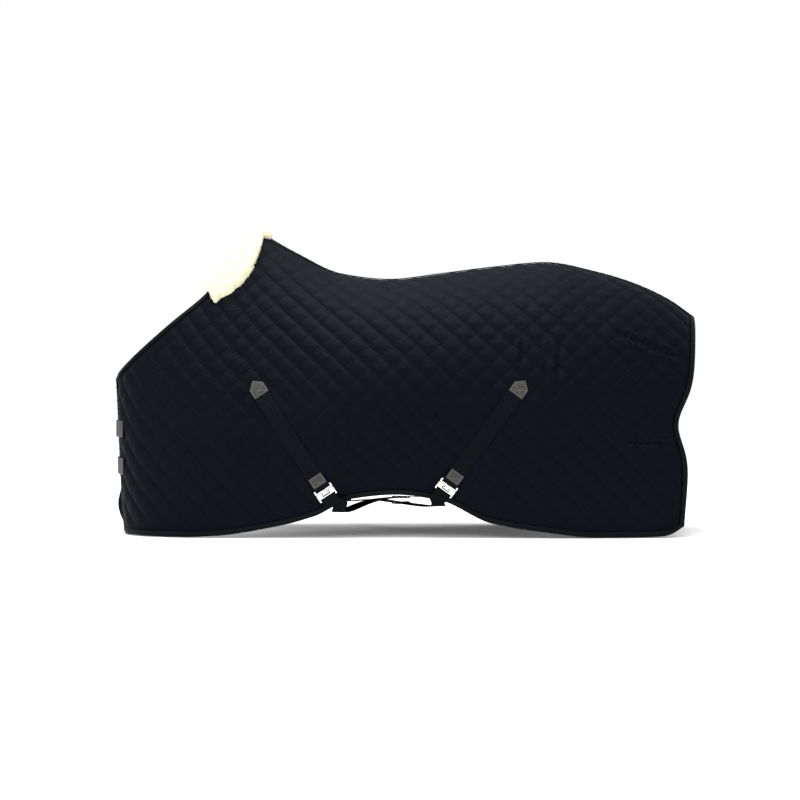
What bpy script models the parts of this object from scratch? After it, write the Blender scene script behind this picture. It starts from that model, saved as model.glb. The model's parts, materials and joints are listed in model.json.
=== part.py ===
# Quilted stable rug: two padded sides joined along the back, with bound edges, a fleece at the withers,
# two crossed belly straps with hook clips, and two buckled chest straps.
# Metres. +X points to the tail, the near (left) side is at -Y, +Z is up, the hem rests on z = 0.

from math import cos, exp, pi, sin

import bmesh
import bpy
from mathutils import Matrix, Vector
from mathutils.bvhtree import BVHTree

# Overall sizes
rugLength = 1.780
rugHeight = 0.907
rugWidth = 0.620

# Quilted layers, from the horse outwards
liningThickness = 0.0012
waddingThickness = 0.0080
shellThickness = 0.0014
layerGap = 0.0003
seat = 0.0003            # the gap that any two touching pieces keep
drapeLift = 0.0008       # how far a flat piece lies above the coarse facets of the shell

# Edge binding and back seam tape
bindingWidth = 0.016
bindingThickness = 0.0014
restBand = 0.0020        # hem this near the floor is flattened onto it
lipGap = 0.0008          # between the tape's fold and the edge of the layers
bindingEase = 0.0007     # between the tape's legs and the layers
tapeThickness = 0.0012
frontGap = 0.018         # half of the gap between the two front edges

# Fleece at the withers
fleeceThickness = 0.015
fleeceInnerThickness = 0.012
fleeceEase = 0.0030

# Webbing
webWidth = 0.048
webThickness = 0.0018
patchThickness = 0.0016
tabLength = 0.029
tabWidth = 0.044

# Hook clips of the belly straps
barWidth = 0.0040
plateThickness = 0.0030
clipPitch = 0.034        # between the two bars that the webbing goes round
foldRadius = 0.0040      # middle of the webbing where it turns round a bar
clipHeight = 0.0085      # bar centre above the shell
clipSlot = 0.051
clipFrame = 0.0035
hookSlack = 0.0015

# Chest buckles
buckleLength = 0.034
buckleWire = 0.0042
rollerWall = 0.0010
rollerGap = 0.0003
tongueWidth = 0.0036
tongueSlotWidth = 0.0065
keeperWidth = 0.014
keeperReach = 0.035      # from the buckle's bar to the middle of the keeper

# The lines of one side, drawn for a rug of these sizes: (forward-back, out from the middle, up)
drawnLength, drawnHeight, drawnWidth = 1.780, 0.907, 0.620
stations = [
    # top edge                  upper handle            lower handle            hem
    ((-0.884, 0.018, 0.470), (-0.874, 0.018, 0.350), (-0.872, 0.020, 0.160), (-0.857, 0.034, 0.003)),
    ((-0.868, 0.074, 0.489), (-0.872, 0.092, 0.390), (-0.862, 0.115, 0.180), (-0.840, 0.120, 0.003)),
    ((-0.800, 0.136, 0.551), (-0.812, 0.190, 0.450), (-0.790, 0.240, 0.210), (-0.770, 0.205, 0.003)),
    ((-0.700, 0.160, 0.638), (-0.706, 0.225, 0.530), (-0.680, 0.300, 0.240), (-0.665, 0.240, 0.003)),
    ((-0.592, 0.140, 0.733), (-0.590, 0.205, 0.640), (-0.565, 0.345, 0.320), (-0.550, 0.252, 0.009)),
    ((-0.528, 0.105, 0.823), (-0.525, 0.165, 0.735), (-0.495, 0.360, 0.370), (-0.470, 0.258, 0.020)),
    ((-0.478, 0.058, 0.877), (-0.475, 0.115, 0.800), (-0.440, 0.368, 0.400), (-0.420, 0.262, 0.030)),
    ((-0.448, 0.000, 0.907), (-0.440, 0.070, 0.872), (-0.400, 0.375, 0.420), (-0.380, 0.264, 0.037)),
    ((-0.340, 0.000, 0.846), (-0.335, 0.110, 0.832), (-0.300, 0.390, 0.440), (-0.280, 0.268, 0.064)),
    ((-0.200, 0.000, 0.783), (-0.200, 0.180, 0.776), (-0.165, 0.410, 0.450), (-0.160, 0.266, 0.120)),
    ((-0.050, 0.000, 0.766), (-0.050, 0.215, 0.764), (-0.030, 0.415, 0.450), (-0.030, 0.262, 0.132)),
    ((0.110, 0.000, 0.784), (0.110, 0.225, 0.783), (0.110, 0.405, 0.450), (0.105, 0.264, 0.114)),
    ((0.270, 0.000, 0.804), (0.270, 0.230, 0.803), (0.265, 0.390, 0.440), (0.255, 0.270, 0.046)),
    ((0.430, 0.000, 0.818), (0.430, 0.235, 0.816), (0.425, 0.375, 0.430), (0.420, 0.272, 0.018)),
    ((0.583, 0.000, 0.790), (0.588, 0.230, 0.785), (0.580, 0.355, 0.400), (0.565, 0.268, 0.003)),
    ((0.700, 0.000, 0.755), (0.712, 0.205, 0.742), (0.700, 0.330, 0.360), (0.675, 0.262, 0.003)),
    ((0.806, 0.000, 0.706), (0.824, 0.170, 0.690), (0.795, 0.300, 0.330), (0.768, 0.252, 0.006)),
    ((0.886, 0.000, 0.651), (0.876, 0.150, 0.625), (0.846, 0.262, 0.330), (0.826, 0.236, 0.032)),
]
columnSteps = [1, 3, 2, 2, 1, 1, 1, 2, 1, 2, 2, 2, 2, 2, 2, 2, 2]
rows = 9
wither = 7               # the station where the neckline meets the back
fleeceFoot = 4           # the station where the fleece ends on the neckline

# The darts draw the tail edge in, and the off front flap kicks forward: (height, half spread, distance)
stifleDart = (0.335, 0.085, 0.040)
offFlapKick = (0.075, 0.055, 0.022)

# Places on the side of the rug, as (forward-back, up) in the drawing
frontPatchFoot, frontClip = (-0.428, 0.422), (-0.2485, 0.1500)
rearPatchFoot, rearClip = (0.322, 0.424), (0.1300, 0.1640)
patchHeight, patchShoulder = 0.052, 0.031
bellyHeight = 0.091      # underside of the lower strap where the two cross
bellyCrossing = -0.060
hemClearance = 0.012     # from the hem down to the straps that pass below it
adjusterReach = 0.085    # from the crossing to each adjuster, measured across the rug
chestStrapHeights = {"upper": 0.318, "lower": 0.205}
chestPatchLength, chestPatchWidth = 0.052, 0.050
chestPatchStart = 0.100  # round the chest from the middle to the front end of a patch

stretch = Vector((rugLength / drawnLength, rugWidth / drawnWidth, rugHeight / drawnHeight))
shellTop = liningThickness + waddingThickness + shellThickness + 2 * layerGap
near, off = -1, 1
sideNames = {near: "near", off: "off"}


def clearScene():
    for item in list(bpy.data.objects):
        bpy.data.objects.remove(item)


def linear(byte):
    value = byte / 255
    return value / 12.92 if value <= 0.04045 else ((value + 0.055) / 1.055) ** 2.4


def makeMaterial(name, colour, roughness, metallic=0.0):
    material = bpy.data.materials.new(name)
    material.use_nodes = True
    shader = material.node_tree.nodes["Principled BSDF"]
    shader.inputs["Base Color"].default_value = (*[linear(byte) for byte in colour], 1)
    shader.inputs["Roughness"].default_value = roughness
    shader.inputs["Metallic"].default_value = metallic
    return material


def faceOut(mesh):
    """Turns every face outwards, judged by the volume that the mesh encloses."""
    build = bmesh.new()
    build.from_mesh(mesh)
    bmesh.ops.recalc_face_normals(build, faces=build.faces)
    if build.calc_volume(signed=True) < 0:
        bmesh.ops.reverse_faces(build, faces=build.faces)
    build.to_mesh(mesh)
    build.free()


def addSolid(name, points, triangles, material, origin=None):
    """One closed solid. Its origin is moved to the place given, where its joint turns."""
    mesh = bpy.data.meshes.new(name)
    origin = origin or Vector((0, 0, 0))
    mesh.from_pydata([Vector(point) - origin for point in points], [], triangles)
    faceOut(mesh)
    mesh.materials.append(material)
    item = bpy.data.objects.new(name, mesh)
    item.location = origin
    bpy.context.collection.objects.link(item)
    return item


# The padded sides

def slopes(values, corner):
    """Tangents that keep flats flat and never overshoot, one-sided at a corner."""
    steps = [b - a for a, b in zip(values, values[1:])]
    found = [steps[0]]
    for before, after in zip(steps, steps[1:]):
        found.append(0 if before * after <= 0 else 2 * before * after / (before + after))
    found.append(steps[-1])
    inward, outward = list(found), list(found)
    if corner is not None:
        inward[corner], outward[corner] = steps[corner - 1], steps[corner]
    return inward, outward


def makeCurve(row, axis):
    values = [station[row][axis] for station in stations]
    inward, outward = slopes(values, wither if row < 2 else None)
    return values, inward, outward


curves = [[makeCurve(row, axis) for axis in range(3)] for row in range(4)]


def readCurve(curve, place):
    values, inward, outward = curve
    first = min(int(place), len(values) - 2)
    t = place - first
    a, b = values[first], values[first + 1]
    rise, fall = outward[first], inward[first + 1]
    return (a * (1 + 2 * t) * (1 - t) ** 2 + rise * t * (1 - t) ** 2
            + b * t * t * (3 - 2 * t) + fall * t * t * (t - 1))


def bump(value, middle, spread):
    return exp(-((value - middle) / spread) ** 2)


def smooth(value):
    value = min(max(value, 0), 1)
    return value * value * (3 - 2 * value)


def sidePoint(side, place, down):
    """The lining's inner face: place counts stations from the front, down runs from 0 at the top to 1 at the hem."""
    handles = [Vector([readCurve(curves[row][axis], place) for axis in range(3)]) for row in range(4)]
    up = 1 - down
    point = (handles[0] * up ** 3 + handles[1] * 3 * up * up * down
             + handles[2] * 3 * up * down * down + handles[3] * down ** 3)
    height, spread, pull = stifleDart
    rearward = smooth((place - (len(stations) - 4)) / 3)
    point.x -= pull * bump(point.z, height, spread) * rearward
    if side == off:
        height, spread, kick = offFlapKick
        point.x -= kick * bump(point.z, height, spread) * smooth(1 - place / 2)
    point = Vector([point[axis] * stretch[axis] for axis in range(3)])
    point.y *= side
    if place > wither and down == 0:
        point.y = side * seat
    return point


def sideNormal(side, place, down):
    step, last = 0.004, len(stations) - 1
    a, b = max(place - step, 0), min(place + step, last)
    if place == wither:
        a = place
    c, d = max(down - step, 0), min(down + step, 1)
    along = sidePoint(side, b, max(down, 1e-6)) - sidePoint(side, a, max(down, 1e-6))
    across = sidePoint(side, place, max(d, 1e-6)) - sidePoint(side, place, max(c, 1e-6))
    normal = along.cross(across) * side
    if place >= wither and down == 0:
        normal.y = 0
    return normal.normalized()


def search(test):
    """The share from 0 to 1 where a test turns true."""
    low, high = 0.0, 1.0
    for _ in range(24):
        middle = (low + high) / 2
        low, high = (low, middle) if test(middle) else (middle, high)
    return high


def columnPlaces():
    """Station counts of the grid's columns, with one at the binding's width from each end."""
    last, level = len(stations) - 1, 0.6
    ends = [sidePoint(near, 0, level), sidePoint(near, last, level)]
    first = search(lambda share: (sidePoint(near, share, level) - ends[0]).length > bindingWidth)
    final = last - search(lambda share: (sidePoint(near, last - share, level) - ends[1]).length > bindingWidth)
    found = [0, first]
    for station, steps in enumerate(columnSteps):
        found += [station + step / steps for step in range(steps) if station + step > 0]
    return found + [final, last]


def rowDowns(side, place):
    """Shares down one column, with a row at the binding's width from the top and from the hem."""
    top, hem = sidePoint(side, place, 0), sidePoint(side, place, 1)
    first = search(lambda share: (sidePoint(side, place, share) - top).length > bindingWidth)
    final = 1 - search(lambda share: (sidePoint(side, place, 1 - share) - hem).length > bindingWidth)
    steps = rows - 2
    return [0] + [first + (final - first) * step / steps for step in range(steps + 1)] + [1]


places = columnPlaces()
downs = {side: [rowDowns(side, place) for place in places] for side in (near, off)}
frames = {side: [[(sidePoint(side, place, down), sideNormal(side, place, down)) for down in downs[side][column]]
                 for column, place in enumerate(places)] for side in (near, off)}


def lifted(side, column, row, height):
    point, normal = frames[side][column][row]
    return point + normal * height


def gridTriangles(columns, count, start=0):
    triangles = []
    for column in range(columns - 1):
        for row in range(count - 1):
            a = start + column * count + row
            b, c, d = a + count, a + count + 1, a + 1
            triangles += [(a, b, c), (a, c, d)]
    return triangles


def addLayer(name, side, low, high, material):
    columns, count = len(places), rows + 1
    points = [lifted(side, column, row, height) for height in (low, high)
              for column in range(columns) for row in range(count)]
    size = columns * count
    triangles = gridTriangles(columns, count)
    triangles += [tuple(corner + size for corner in reversed(face)) for face in triangles]
    rim = ([column * count for column in range(columns)]
           + [(columns - 1) * count + row for row in range(1, count)]
           + [column * count + rows for column in reversed(range(columns - 1))]
           + [row for row in reversed(range(1, rows))])
    for a, b in zip(rim, rim[1:] + rim[:1]):
        triangles += [(a, b, b + size), (a, b + size, a + size)]
    return addSolid(name, points, triangles, material)


# Long thin pieces

def addLoft(name, rings, material, closed=False, origin=None, turned=(), turnedFrom=1000):
    """Joins equal rings of points, and closes the two ends unless the rings come round. The bands
    listed in turned, or all after one ring, are split along their other diagonal, to lie flat on
    what they cover."""
    count = len(rings[0])
    points = [point for ring in rings for point in ring]
    triangles = []
    pairs = list(zip(range(len(rings)), range(1, len(rings))))
    if closed:
        pairs.append((len(rings) - 1, 0))
    for first, second in pairs:
        for corner in range(count):
            after = (corner + 1) % count
            a, b = first * count + corner, second * count + corner
            c, d = second * count + after, first * count + after
            turn = corner in turned or first >= turnedFrom
            triangles += [(a, b, d), (b, c, d)] if turn else [(a, b, c), (a, c, d)]
    if not closed:
        base = (len(rings) - 1) * count
        triangles += [tuple(reversed(face)) for face in capTriangles(count, 0)]
        triangles += capTriangles(count, base)
    return addSolid(name, points, triangles, material, origin)


def capTriangles(count, base):
    """Fills one end ring as a strip: its first half runs out and its second half comes back beside it."""
    triangles = []
    for corner in range(count // 2 - 1):
        a, b = base + corner, base + corner + 1
        c, d = base + count - 2 - corner, base + count - 1 - corner
        triangles += [(a, b, c), (a, c, d)]
    return triangles


def addRibbon(name, path, width, thickness, material, across=1):
    """A flat band along (point, normal, width direction) frames, with its middle on the path."""
    rings = []
    for point, normal, sideways in path:
        shares = [-0.5 + step / across for step in range(across + 1)]
        top = [point + sideways * width * share + normal * thickness / 2 for share in shares]
        base = [point + sideways * width * share - normal * thickness / 2 for share in shares]
        rings.append(top + base[::-1])
    return addLoft(name, rings, material)


def edgeColumns(side, edge):
    """Pairs of (edge point, next point in) as (column, row), along one edge of a side."""
    last = len(places) - 1
    if edge == "neck":
        foot = places.index(fleeceFoot)
        return [((column, 0), (column, 1)) for column in range(foot + 1)]
    if edge == "back":
        start = places.index(wither)
        return [((column, 0), (column, 1)) for column in range(start, last + 1)]
    if edge == "hem":
        return [((column, rows), (column, rows - 1)) for column in range(last + 1)]
    column, inner = (0, 1) if edge == "front" else (last, last - 1)
    return [((column, row), (inner, row)) for row in range(rows + 1)]


def inFrom(side, pair, height, distance):
    """A point in from an edge by a share of the first row: 0 is the edge, and 1 that row."""
    outer, inner = lifted(side, *pair[0], height), lifted(side, *pair[1], height)
    return outer + (inner - outer) * distance if distance > 0 else outer + (inner - outer).normalized() * distance


def trimmed(rings, start, end):
    """Cuts a length off each end of a run of rings."""
    for length, turn in ((start, 1), (end, -1)):
        run = rings[::turn]
        while length > 0:
            step = (run[1][0] - run[0][0]).length
            if step <= length:
                run, length = run[1:], length - step
            else:
                share = length / step
                run = [[a.lerp(b, share) for a, b in zip(run[0], run[1])]] + run[1:]
                length = 0
        rings = run[::turn]
    return rings


def addBinding(name, side, edge, material, start, end):
    """A channel of tape round all the layers of one edge."""
    low, high = -bindingEase, shellTop + bindingEase
    outLow, outHigh = low - bindingThickness, high + bindingThickness
    web, lip = -lipGap - bindingThickness, -lipGap
    outline = [(outLow, 1), (outLow, web), (outHigh, web), (outHigh, 1),
               (high, 1), (high, lip), (low, lip), (low, 1)]
    rings = [[inFrom(side, pair, height, distance) for height, distance in outline]
             for pair in edgeColumns(side, edge)]
    if edge == "hem":
        flattenRest(rings)
    addLoft(name, trimmed(rings, start, end), material, turned=[4] if edge in ("neck", "front") else [6])


def flattenRest(rings):
    """The lowest stretches of the hem's tape lie flat on the floor."""
    floor = min(ring[corner].z for ring in rings for corner in (1, 2))
    for ring in rings:
        level = min(ring[1].z, ring[2].z)
        for corner in (1, 2):
            ring[corner].z = floor if level < floor + restBand else level


def addBackTape(material):
    """The tape over the back seam, from the fleece to the tail."""
    low = shellTop + bindingEase
    rings = []
    for pair in edgeColumns(near, "back"):
        reach = 1
        top, base = low + tapeThickness, low
        rings.append([inFrom(near, pair, top, reach), middle(pair, top), inFrom(off, pair, top, reach),
                      inFrom(off, pair, base, reach), middle(pair, base), inFrom(near, pair, base, reach)])
    addLoft("back_seam_tape", trimmed(rings, fleeceBack + 0.004, 0.002), material, turned=[3])


def middle(pair, height):
    return (lifted(near, *pair[0], height) + lifted(off, *pair[0], height)) / 2


# Fleece

fleeceBack = 0.040       # how far the fleece reaches along the back
fleeceDepth = [0.17, 0.205, 0.215, 0.19, 0.12, 0.0]   # how far down each section its lower edge lies
fleeceSteps = 3


def fleecePath(side, share):
    """(place, down) of the neckline point and of the fleece's lower edge, from its foot to the back."""
    at = share * (len(fleeceDepth) - 1)
    first = min(int(at), len(fleeceDepth) - 2)
    depth = fleeceDepth[first] + (fleeceDepth[first + 1] - fleeceDepth[first]) * (at - first)
    back = (stations[wither + 1][0][0] - stations[wither][0][0]) * stretch.x
    place = fleeceFoot + 0.02 + (wither - fleeceFoot - 0.02) * share
    reach = place + 0.10 + (wither + fleeceBack / back - wither - 0.10) * share
    return (place, 0.0), (reach, depth)


def surface(side, place, down, height):
    down = max(down, 0)
    return sidePoint(side, place, down) + sideNormal(side, place, down) * height


def addFleece(material):
    low, high = -fleeceEase, shellTop + fleeceEase
    legs = 5
    rings = []
    shares = [step / (fleeceSteps * 5) for step in range(fleeceSteps * 5 + 1)]
    for side, run in ((near, shares), (off, shares[-2::-1])):
        for share in run:
            (place, top), (reach, depth) = fleecePath(side, share)
            line = [(place + (reach - place) * step / legs, top + (depth - top) * step / legs)
                    for step in range(legs + 1)]
            ring = []
            for height, order in ((high + fleeceThickness, line[::-1]), (low - fleeceInnerThickness, line),
                                  (low, line[::-1]), (high, line)):
                ring += [facetPoint(side, *spot, height) for spot in order]
            rim = (ring[legs] - ring[legs - 1]).normalized()
            for corner in (legs, legs + 1):
                ring[corner] = ring[corner] + rim * (fleeceThickness + 0.002)
            for corner in (3 * legs + 2, 3 * legs + 3):
                ring[corner] = ring[corner] + rim * 0.002
            if share == 1:
                for point in ring:
                    point.y = 0
            rings.append(ring)
    addLoft("wither_fleece", rings, material, turnedFrom=len(shares) - 1)


def facetPoint(side, place, down, height):
    """A point above the flat facets of the layers, where addLayer puts them."""
    column = max(index for index, value in enumerate(places[:-1]) if value <= place + 1e-9)
    run = downs[side][column]
    row = max(index for index, value in enumerate(run[:-1]) if value <= down + 1e-9)
    s = (place - places[column]) / (places[column + 1] - places[column])
    t = (down - run[row]) / (run[row + 1] - run[row])
    a, b = lifted(side, column, row, height), lifted(side, column + 1, row, height)
    c, d = lifted(side, column + 1, row + 1, height), lifted(side, column, row + 1, height)
    if s >= t:
        return a + (b - a) * s + (c - b) * t
    return a + (c - d) * s + (d - a) * t


# Straps and patches on the sides

def shellTree(side):
    columns, count = len(places), rows + 1
    points = [lifted(side, column, row, shellTop) for column in range(columns) for row in range(count)]
    return BVHTree.FromPolygons(points, gridTriangles(columns, count))


trees = {side: shellTree(side) for side in (near, off)}


def touch(side, x, z):
    """Where a line across the rug meets the outside of one side, and which way that face looks."""
    start = Vector((x, side * 1.0, z))
    place, normal, _, _ = trees[side].ray_cast(start, Vector((0, -side, 0)))
    if place is None:
        place, normal, _, _ = trees[side].find_nearest(Vector((x, side * rugWidth / 2, z)))
    return place, normal if normal.y * side > 0 else -normal


def smoothNormal(side, x, z, reach=0.02):
    total = Vector((0, 0, 0))
    for dx, dz in ((0, 0), (reach, 0), (-reach, 0), (0, reach), (0, -reach)):
        total += touch(side, x + dx, z + dz)[1]
    return total.normalized()


def drawn(spot):
    return Vector((spot[0] * stretch.x, spot[1] * stretch.z))


def patchOutline(shoulder, height, half):
    return [(-half, 0), (half, 0), (half, shoulder), (0, height), (-half, shoulder)]


def addDrapedPlate(name, side, foot, upward, outline, thickness, lift, material):
    """A flat patch held just clear of the shell: foot and upward are in the side view, outline is (across, up)."""
    across = Vector((upward.y, -upward.x))
    spots = [foot + across * u + upward * v for u, v in outline]
    centre = sum(spots, Vector((0, 0))) / len(spots)
    normal = smoothNormal(side, *centre)
    base = touch(side, *centre)[0]
    tried = spots + [centre] + [(a + b) / 2 for a, b in zip(spots, spots[1:] + spots[:1])]
    clear = max((touch(side, *spot)[0] - base).dot(normal) for spot in tried)
    flat = []
    for spot in spots:
        point = touch(side, *spot)[0]
        flat.append(point - normal * (point - base).dot(normal) + normal * (clear + lift))
    count = len(flat)
    points = flat + [point + normal * thickness for point in flat]
    triangles = [(0, step, step + 1) for step in range(1, count - 1)]
    triangles += [(count, count + step + 1, count + step) for step in range(1, count - 1)]
    for a in range(count):
        b = (a + 1) % count
        triangles += [(a, b, b + count), (a, b + count, a + count)]
    addSolid(name, points, triangles, material)
    return base + normal * (clear + lift), normal


class Clip:
    """The flat working plane of one hook clip: along the strap, across it, and out from the rug."""

    def __init__(self, side, spot, heading):
        step = 0.03
        here = touch(side, *spot)[0]
        ahead = touch(side, *(spot + heading * step))[0]
        behind = touch(side, *(spot - heading * step))[0]
        self.out = smoothNormal(side, *spot, 0.03)
        along = ahead - behind
        self.along = (along - self.out * along.dot(self.out)).normalized()
        self.across = self.out.cross(self.along)
        self.base = here
        self.centre = here + self.out * clipHeight

    def at(self, along, out, across=0.0):
        return self.centre + self.along * along + self.out * out + self.across * across

    def frame(self, along, out, tilt=0.0):
        """A strap frame in this plane, its normal tilted forward by an angle."""
        normal = self.out * cos(tilt) + self.along * sin(tilt)
        return self.at(along, out), normal, self.across


def drapedFrames(side, start, end, steps, lift):
    """Strap frames over the shell between two places in the side view."""
    heading = (end - start).normalized()
    found = []
    for step in range(steps + 1):
        spot = start.lerp(end, step / steps)
        normal = smoothNormal(side, *spot)
        here = touch(side, *spot)[0]
        ahead = touch(side, *(spot + heading * 0.01))[0]
        along = (ahead - here).normalized()
        across = normal.cross(along).normalized()
        edges = [(touch(side, *(spot + Vector((heading.y, -heading.x)) * webWidth * share))[0] - here).dot(normal)
                 for share in (-0.5, -0.25, 0.25, 0.5)]
        rise = max(edges + [0])
        found.append((here + normal * (rise + lift(step / steps)), normal, across))
    return found


def shortStrapFrames(side, foot, clip, spot):
    """From the patch's foot down the rug, over the bar and back under itself."""
    heading = (spot - foot).normalized()
    flat = drapeLift + webThickness / 2
    stop = spot - heading * 0.055
    run = drapedFrames(side, foot + heading * 0.0006, stop, 7, lambda share: flat + 0.0003 + 0.0007 * share)
    run.append(clip.frame(-0.042, 0.0055 - clipHeight + 0.0005, -0.08))
    run.append(clip.frame(-0.026, foldRadius - 0.0035, -0.2))
    run.append(clip.frame(-0.010, foldRadius, -0.05))
    turns = 6
    for step in range(turns + 1):
        angle = pi / 2 - pi * step / turns
        normal = clip.along * cos(angle) + clip.out * sin(angle)
        run.append((clip.centre + normal * foldRadius, normal, clip.across))
    run.append((clip.at(-0.030, -foldRadius), -clip.out, clip.across))
    return run


def longStrapStart(clip):
    """The clip end of a long strap: back under itself, round the second bar, and away."""
    run = [(clip.at(clipPitch + 0.026, -foldRadius), -clip.out, clip.across),
           (clip.at(clipPitch + 0.012, -foldRadius), -clip.out, clip.across)]
    turns = 6
    for step in range(turns + 1):
        angle = pi / 2 + pi * (turns - step) / turns
        normal = clip.along * cos(angle) + clip.out * sin(angle)
        run.append((clip.at(clipPitch, 0) + normal * foldRadius, normal, clip.across))
    run.append(clip.frame(clipPitch + 0.014, foldRadius - 0.0002))
    return run


def curveFrames(knots, steps):
    """A smooth run of frames through (point, normal, across) knots, not counting the first and last."""
    found = []
    for a, b, c, d in zip(knots, knots[1:], knots[2:], knots[3:]):
        for step in range(steps):
            t = step / steps
            mix = [(-t + 2 * t * t - t ** 3) / 2, (2 - 5 * t * t + 3 * t ** 3) / 2,
                   (t + 4 * t * t - 3 * t ** 3) / 2, (t ** 3 - t * t) / 2]
            point, normal, across = [sum((knot[part] * share for knot, share in zip((a, b, c, d), mix)),
                                         Vector((0, 0, 0))) for part in range(3)]
            normal.normalize()
            across = (across - normal * across.dot(normal)).normalized()
            found.append((point, normal, across))
    return found


def hemPoint(side, x):
    """The outer lower edge of one side at a place along the rug."""
    count = len(places)
    edge = [lifted(side, column, rows, shellTop) for column in range(count)]
    for a, b in zip(edge, edge[1:]):
        if a.x <= x <= b.x:
            return a.lerp(b, (x - a.x) / (b.x - a.x))
    return edge[0] if x < edge[0].x else edge[-1]


def beltFrames(clip, farSide, farFoot, farHem, lift, nearHem):
    """A long strap from its clip, under the near hem, across the belly, up the off side to its patch."""
    run = longStrapStart(clip)
    last = run[-1]
    nearEdge, farEdge = hemPoint(near, nearHem), hemPoint(off, farHem)
    cross = Vector((bellyCrossing * stretch.x, 0, bellyHeight * stretch.z + lift))
    level = (farEdge - nearEdge)
    level.z = 0
    level.normalize()
    down, flat = Vector((0, 0, -1)), Vector((level.y, -level.x, 0))
    under = {side: min(hemPoint(side, edge.x + reach).z for reach in (-0.030, 0, 0.030)) - hemClearance
             for side, edge in ((near, nearEdge), (off, farEdge))}
    slope = Vector((0, near, -0.5)).normalized()
    farSlope = Vector((0, off, -0.5)).normalized()
    heading = (Vector((farFoot[0], farFoot[1])) - Vector((farEdge.x, farEdge.z))).normalized()
    farAcross = Vector((-heading.y, 0, heading.x))
    if farAcross.dot(flat) < 0:
        farAcross = -farAcross
    nearAcross = last[2] if last[2].dot(flat) > 0 else -last[2]
    run = [(point, normal, nearAcross if across.dot(nearAcross) > 0 else -across) for point, normal, across in run]
    knots = [run[-2], run[-1],
             (nearEdge + Vector((0, near * 0.016, 0.002)), slope, (nearAcross + flat).normalized()),
             (Vector((nearEdge.x, nearEdge.y * 0.93, under[near])), down, flat),
             (cross - level * 0.10, down, flat),
             (cross + level * 0.10, down, flat),
             (Vector((farEdge.x, farEdge.y * 0.93, under[off])), down, flat),
             (farEdge + Vector((0, off * 0.016, 0.002)), farSlope, (farAcross + flat).normalized())]
    flatLift = drapeLift + webThickness / 2
    start = Vector((farEdge.x, farEdge.z)) + heading * 0.065
    climb = drapedFrames(farSide, start, Vector(farFoot) - heading * 0.0006, 9, lambda share: flatLift + 0.0010 + 0.0040 * (1 - share) ** 3)
    climb = [(point, normal, across if across.dot(farAcross) > 0 else -across) for point, normal, across in climb]
    knots += [climb[0], climb[1]]
    return run[:-1] + curveFrames(knots, 4) + climb


def plateSolid(outline, holes, thickness):
    """Points and triangles of a flat plate with holes, in its own plane, centred on its thickness."""
    build = bmesh.new()
    for loop in [outline] + holes:
        corners = [build.verts.new((x, y, -thickness / 2)) for x, y in loop]
        for a, b in zip(corners, corners[1:] + corners[:1]):
            build.edges.new((a, b))
    bmesh.ops.triangle_fill(build, use_beauty=True, edges=build.edges[:])
    made = bmesh.ops.extrude_face_region(build, geom=build.faces[:])
    moved = [item for item in made["geom"] if isinstance(item, bmesh.types.BMVert)]
    bmesh.ops.translate(build, verts=moved, vec=(0, 0, thickness))
    bmesh.ops.recalc_face_normals(build, faces=build.faces)
    build.verts.index_update()
    points = [corner.co.copy() for corner in build.verts]
    triangles = [tuple(corner.index for corner in face.verts) for face in build.faces]
    build.free()
    return points, triangles


def rectangle(x0, x1, y0, y1):
    return [(x0, y0), (x1, y0), (x1, y1), (x0, y1)]


def chamfered(x0, x1, y0, y1, cut):
    return [(x0 + cut, y0), (x1 - cut, y0), (x1, y0 + cut), (x1, y1 - cut),
            (x1 - cut, y1), (x0 + cut, y1), (x0, y1 - cut), (x0, y0 + cut)]


def blockSolid(x0, x1, y0, y1, z0, z1):
    points, triangles = plateSolid(rectangle(x0, x1, y0, y1), [], z1 - z0)
    return [point + Vector((0, 0, (z0 + z1) / 2)) for point in points], triangles


def addUnion(name, solids, place, material, origin):
    """Joins simple solids into one, after placing them. The helpers are removed again."""
    made = []
    for index, (points, triangles) in enumerate(solids):
        made.append(addSolid(f"{name}_{index}", [place(point) for point in points], triangles, material))
    body = made[0]
    for other in made[1:]:
        joint = body.modifiers.new("join", "BOOLEAN")
        joint.operation = "UNION"
        joint.object = other
    bpy.context.view_layer.update()
    graph = bpy.context.evaluated_depsgraph_get()
    mesh = bpy.data.meshes.new_from_object(body.evaluated_get(graph))
    for item in made:
        bpy.data.objects.remove(item)
    faceOut(mesh)
    mesh.transform(Matrix.Translation(-origin))
    mesh.name = name
    mesh.materials.clear()
    mesh.materials.append(material)
    item = bpy.data.objects.new(name, mesh)
    item.location = origin
    bpy.context.collection.objects.link(item)
    return item


def clipPlace(clip):
    return lambda point: clip.at(point.x, point.z, point.y)


hookReach = 0.010        # from the first bar to the far edge of the hook's frame
eyeStart = 0.0115        # where the eye plate begins


def addHook(name, clip, material):
    half = clipSlot / 2 + clipFrame
    bar = barWidth / 2
    frame = plateSolid(chamfered(-bar, hookReach, -half, half, 0.0012),
                       [rectangle(bar, hookReach - 0.0036, -clipSlot / 2, clipSlot / 2)], plateThickness)
    neckWidth, headWidth = 0.0055, 0.011
    headStart = eyeStart + barWidth + hookSlack
    neckLow, neckHigh = 0.0040, 0.0066
    riser = blockSolid(hookReach - 0.0030, hookReach - 0.0002, -neckWidth, neckWidth, 0.0002, neckHigh)
    neck = blockSolid(hookReach - 0.0028, headStart + 0.0030, -neckWidth + 0.0002, neckWidth - 0.0002,
                      neckLow, neckHigh - 0.0002)
    head = blockSolid(headStart, headStart + 0.0032, -headWidth, headWidth, -0.0016, neckHigh + 0.0004)
    addUnion(name, [frame, riser, neck, head], clipPlace(clip), material, clip.at(0, 0))


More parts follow.
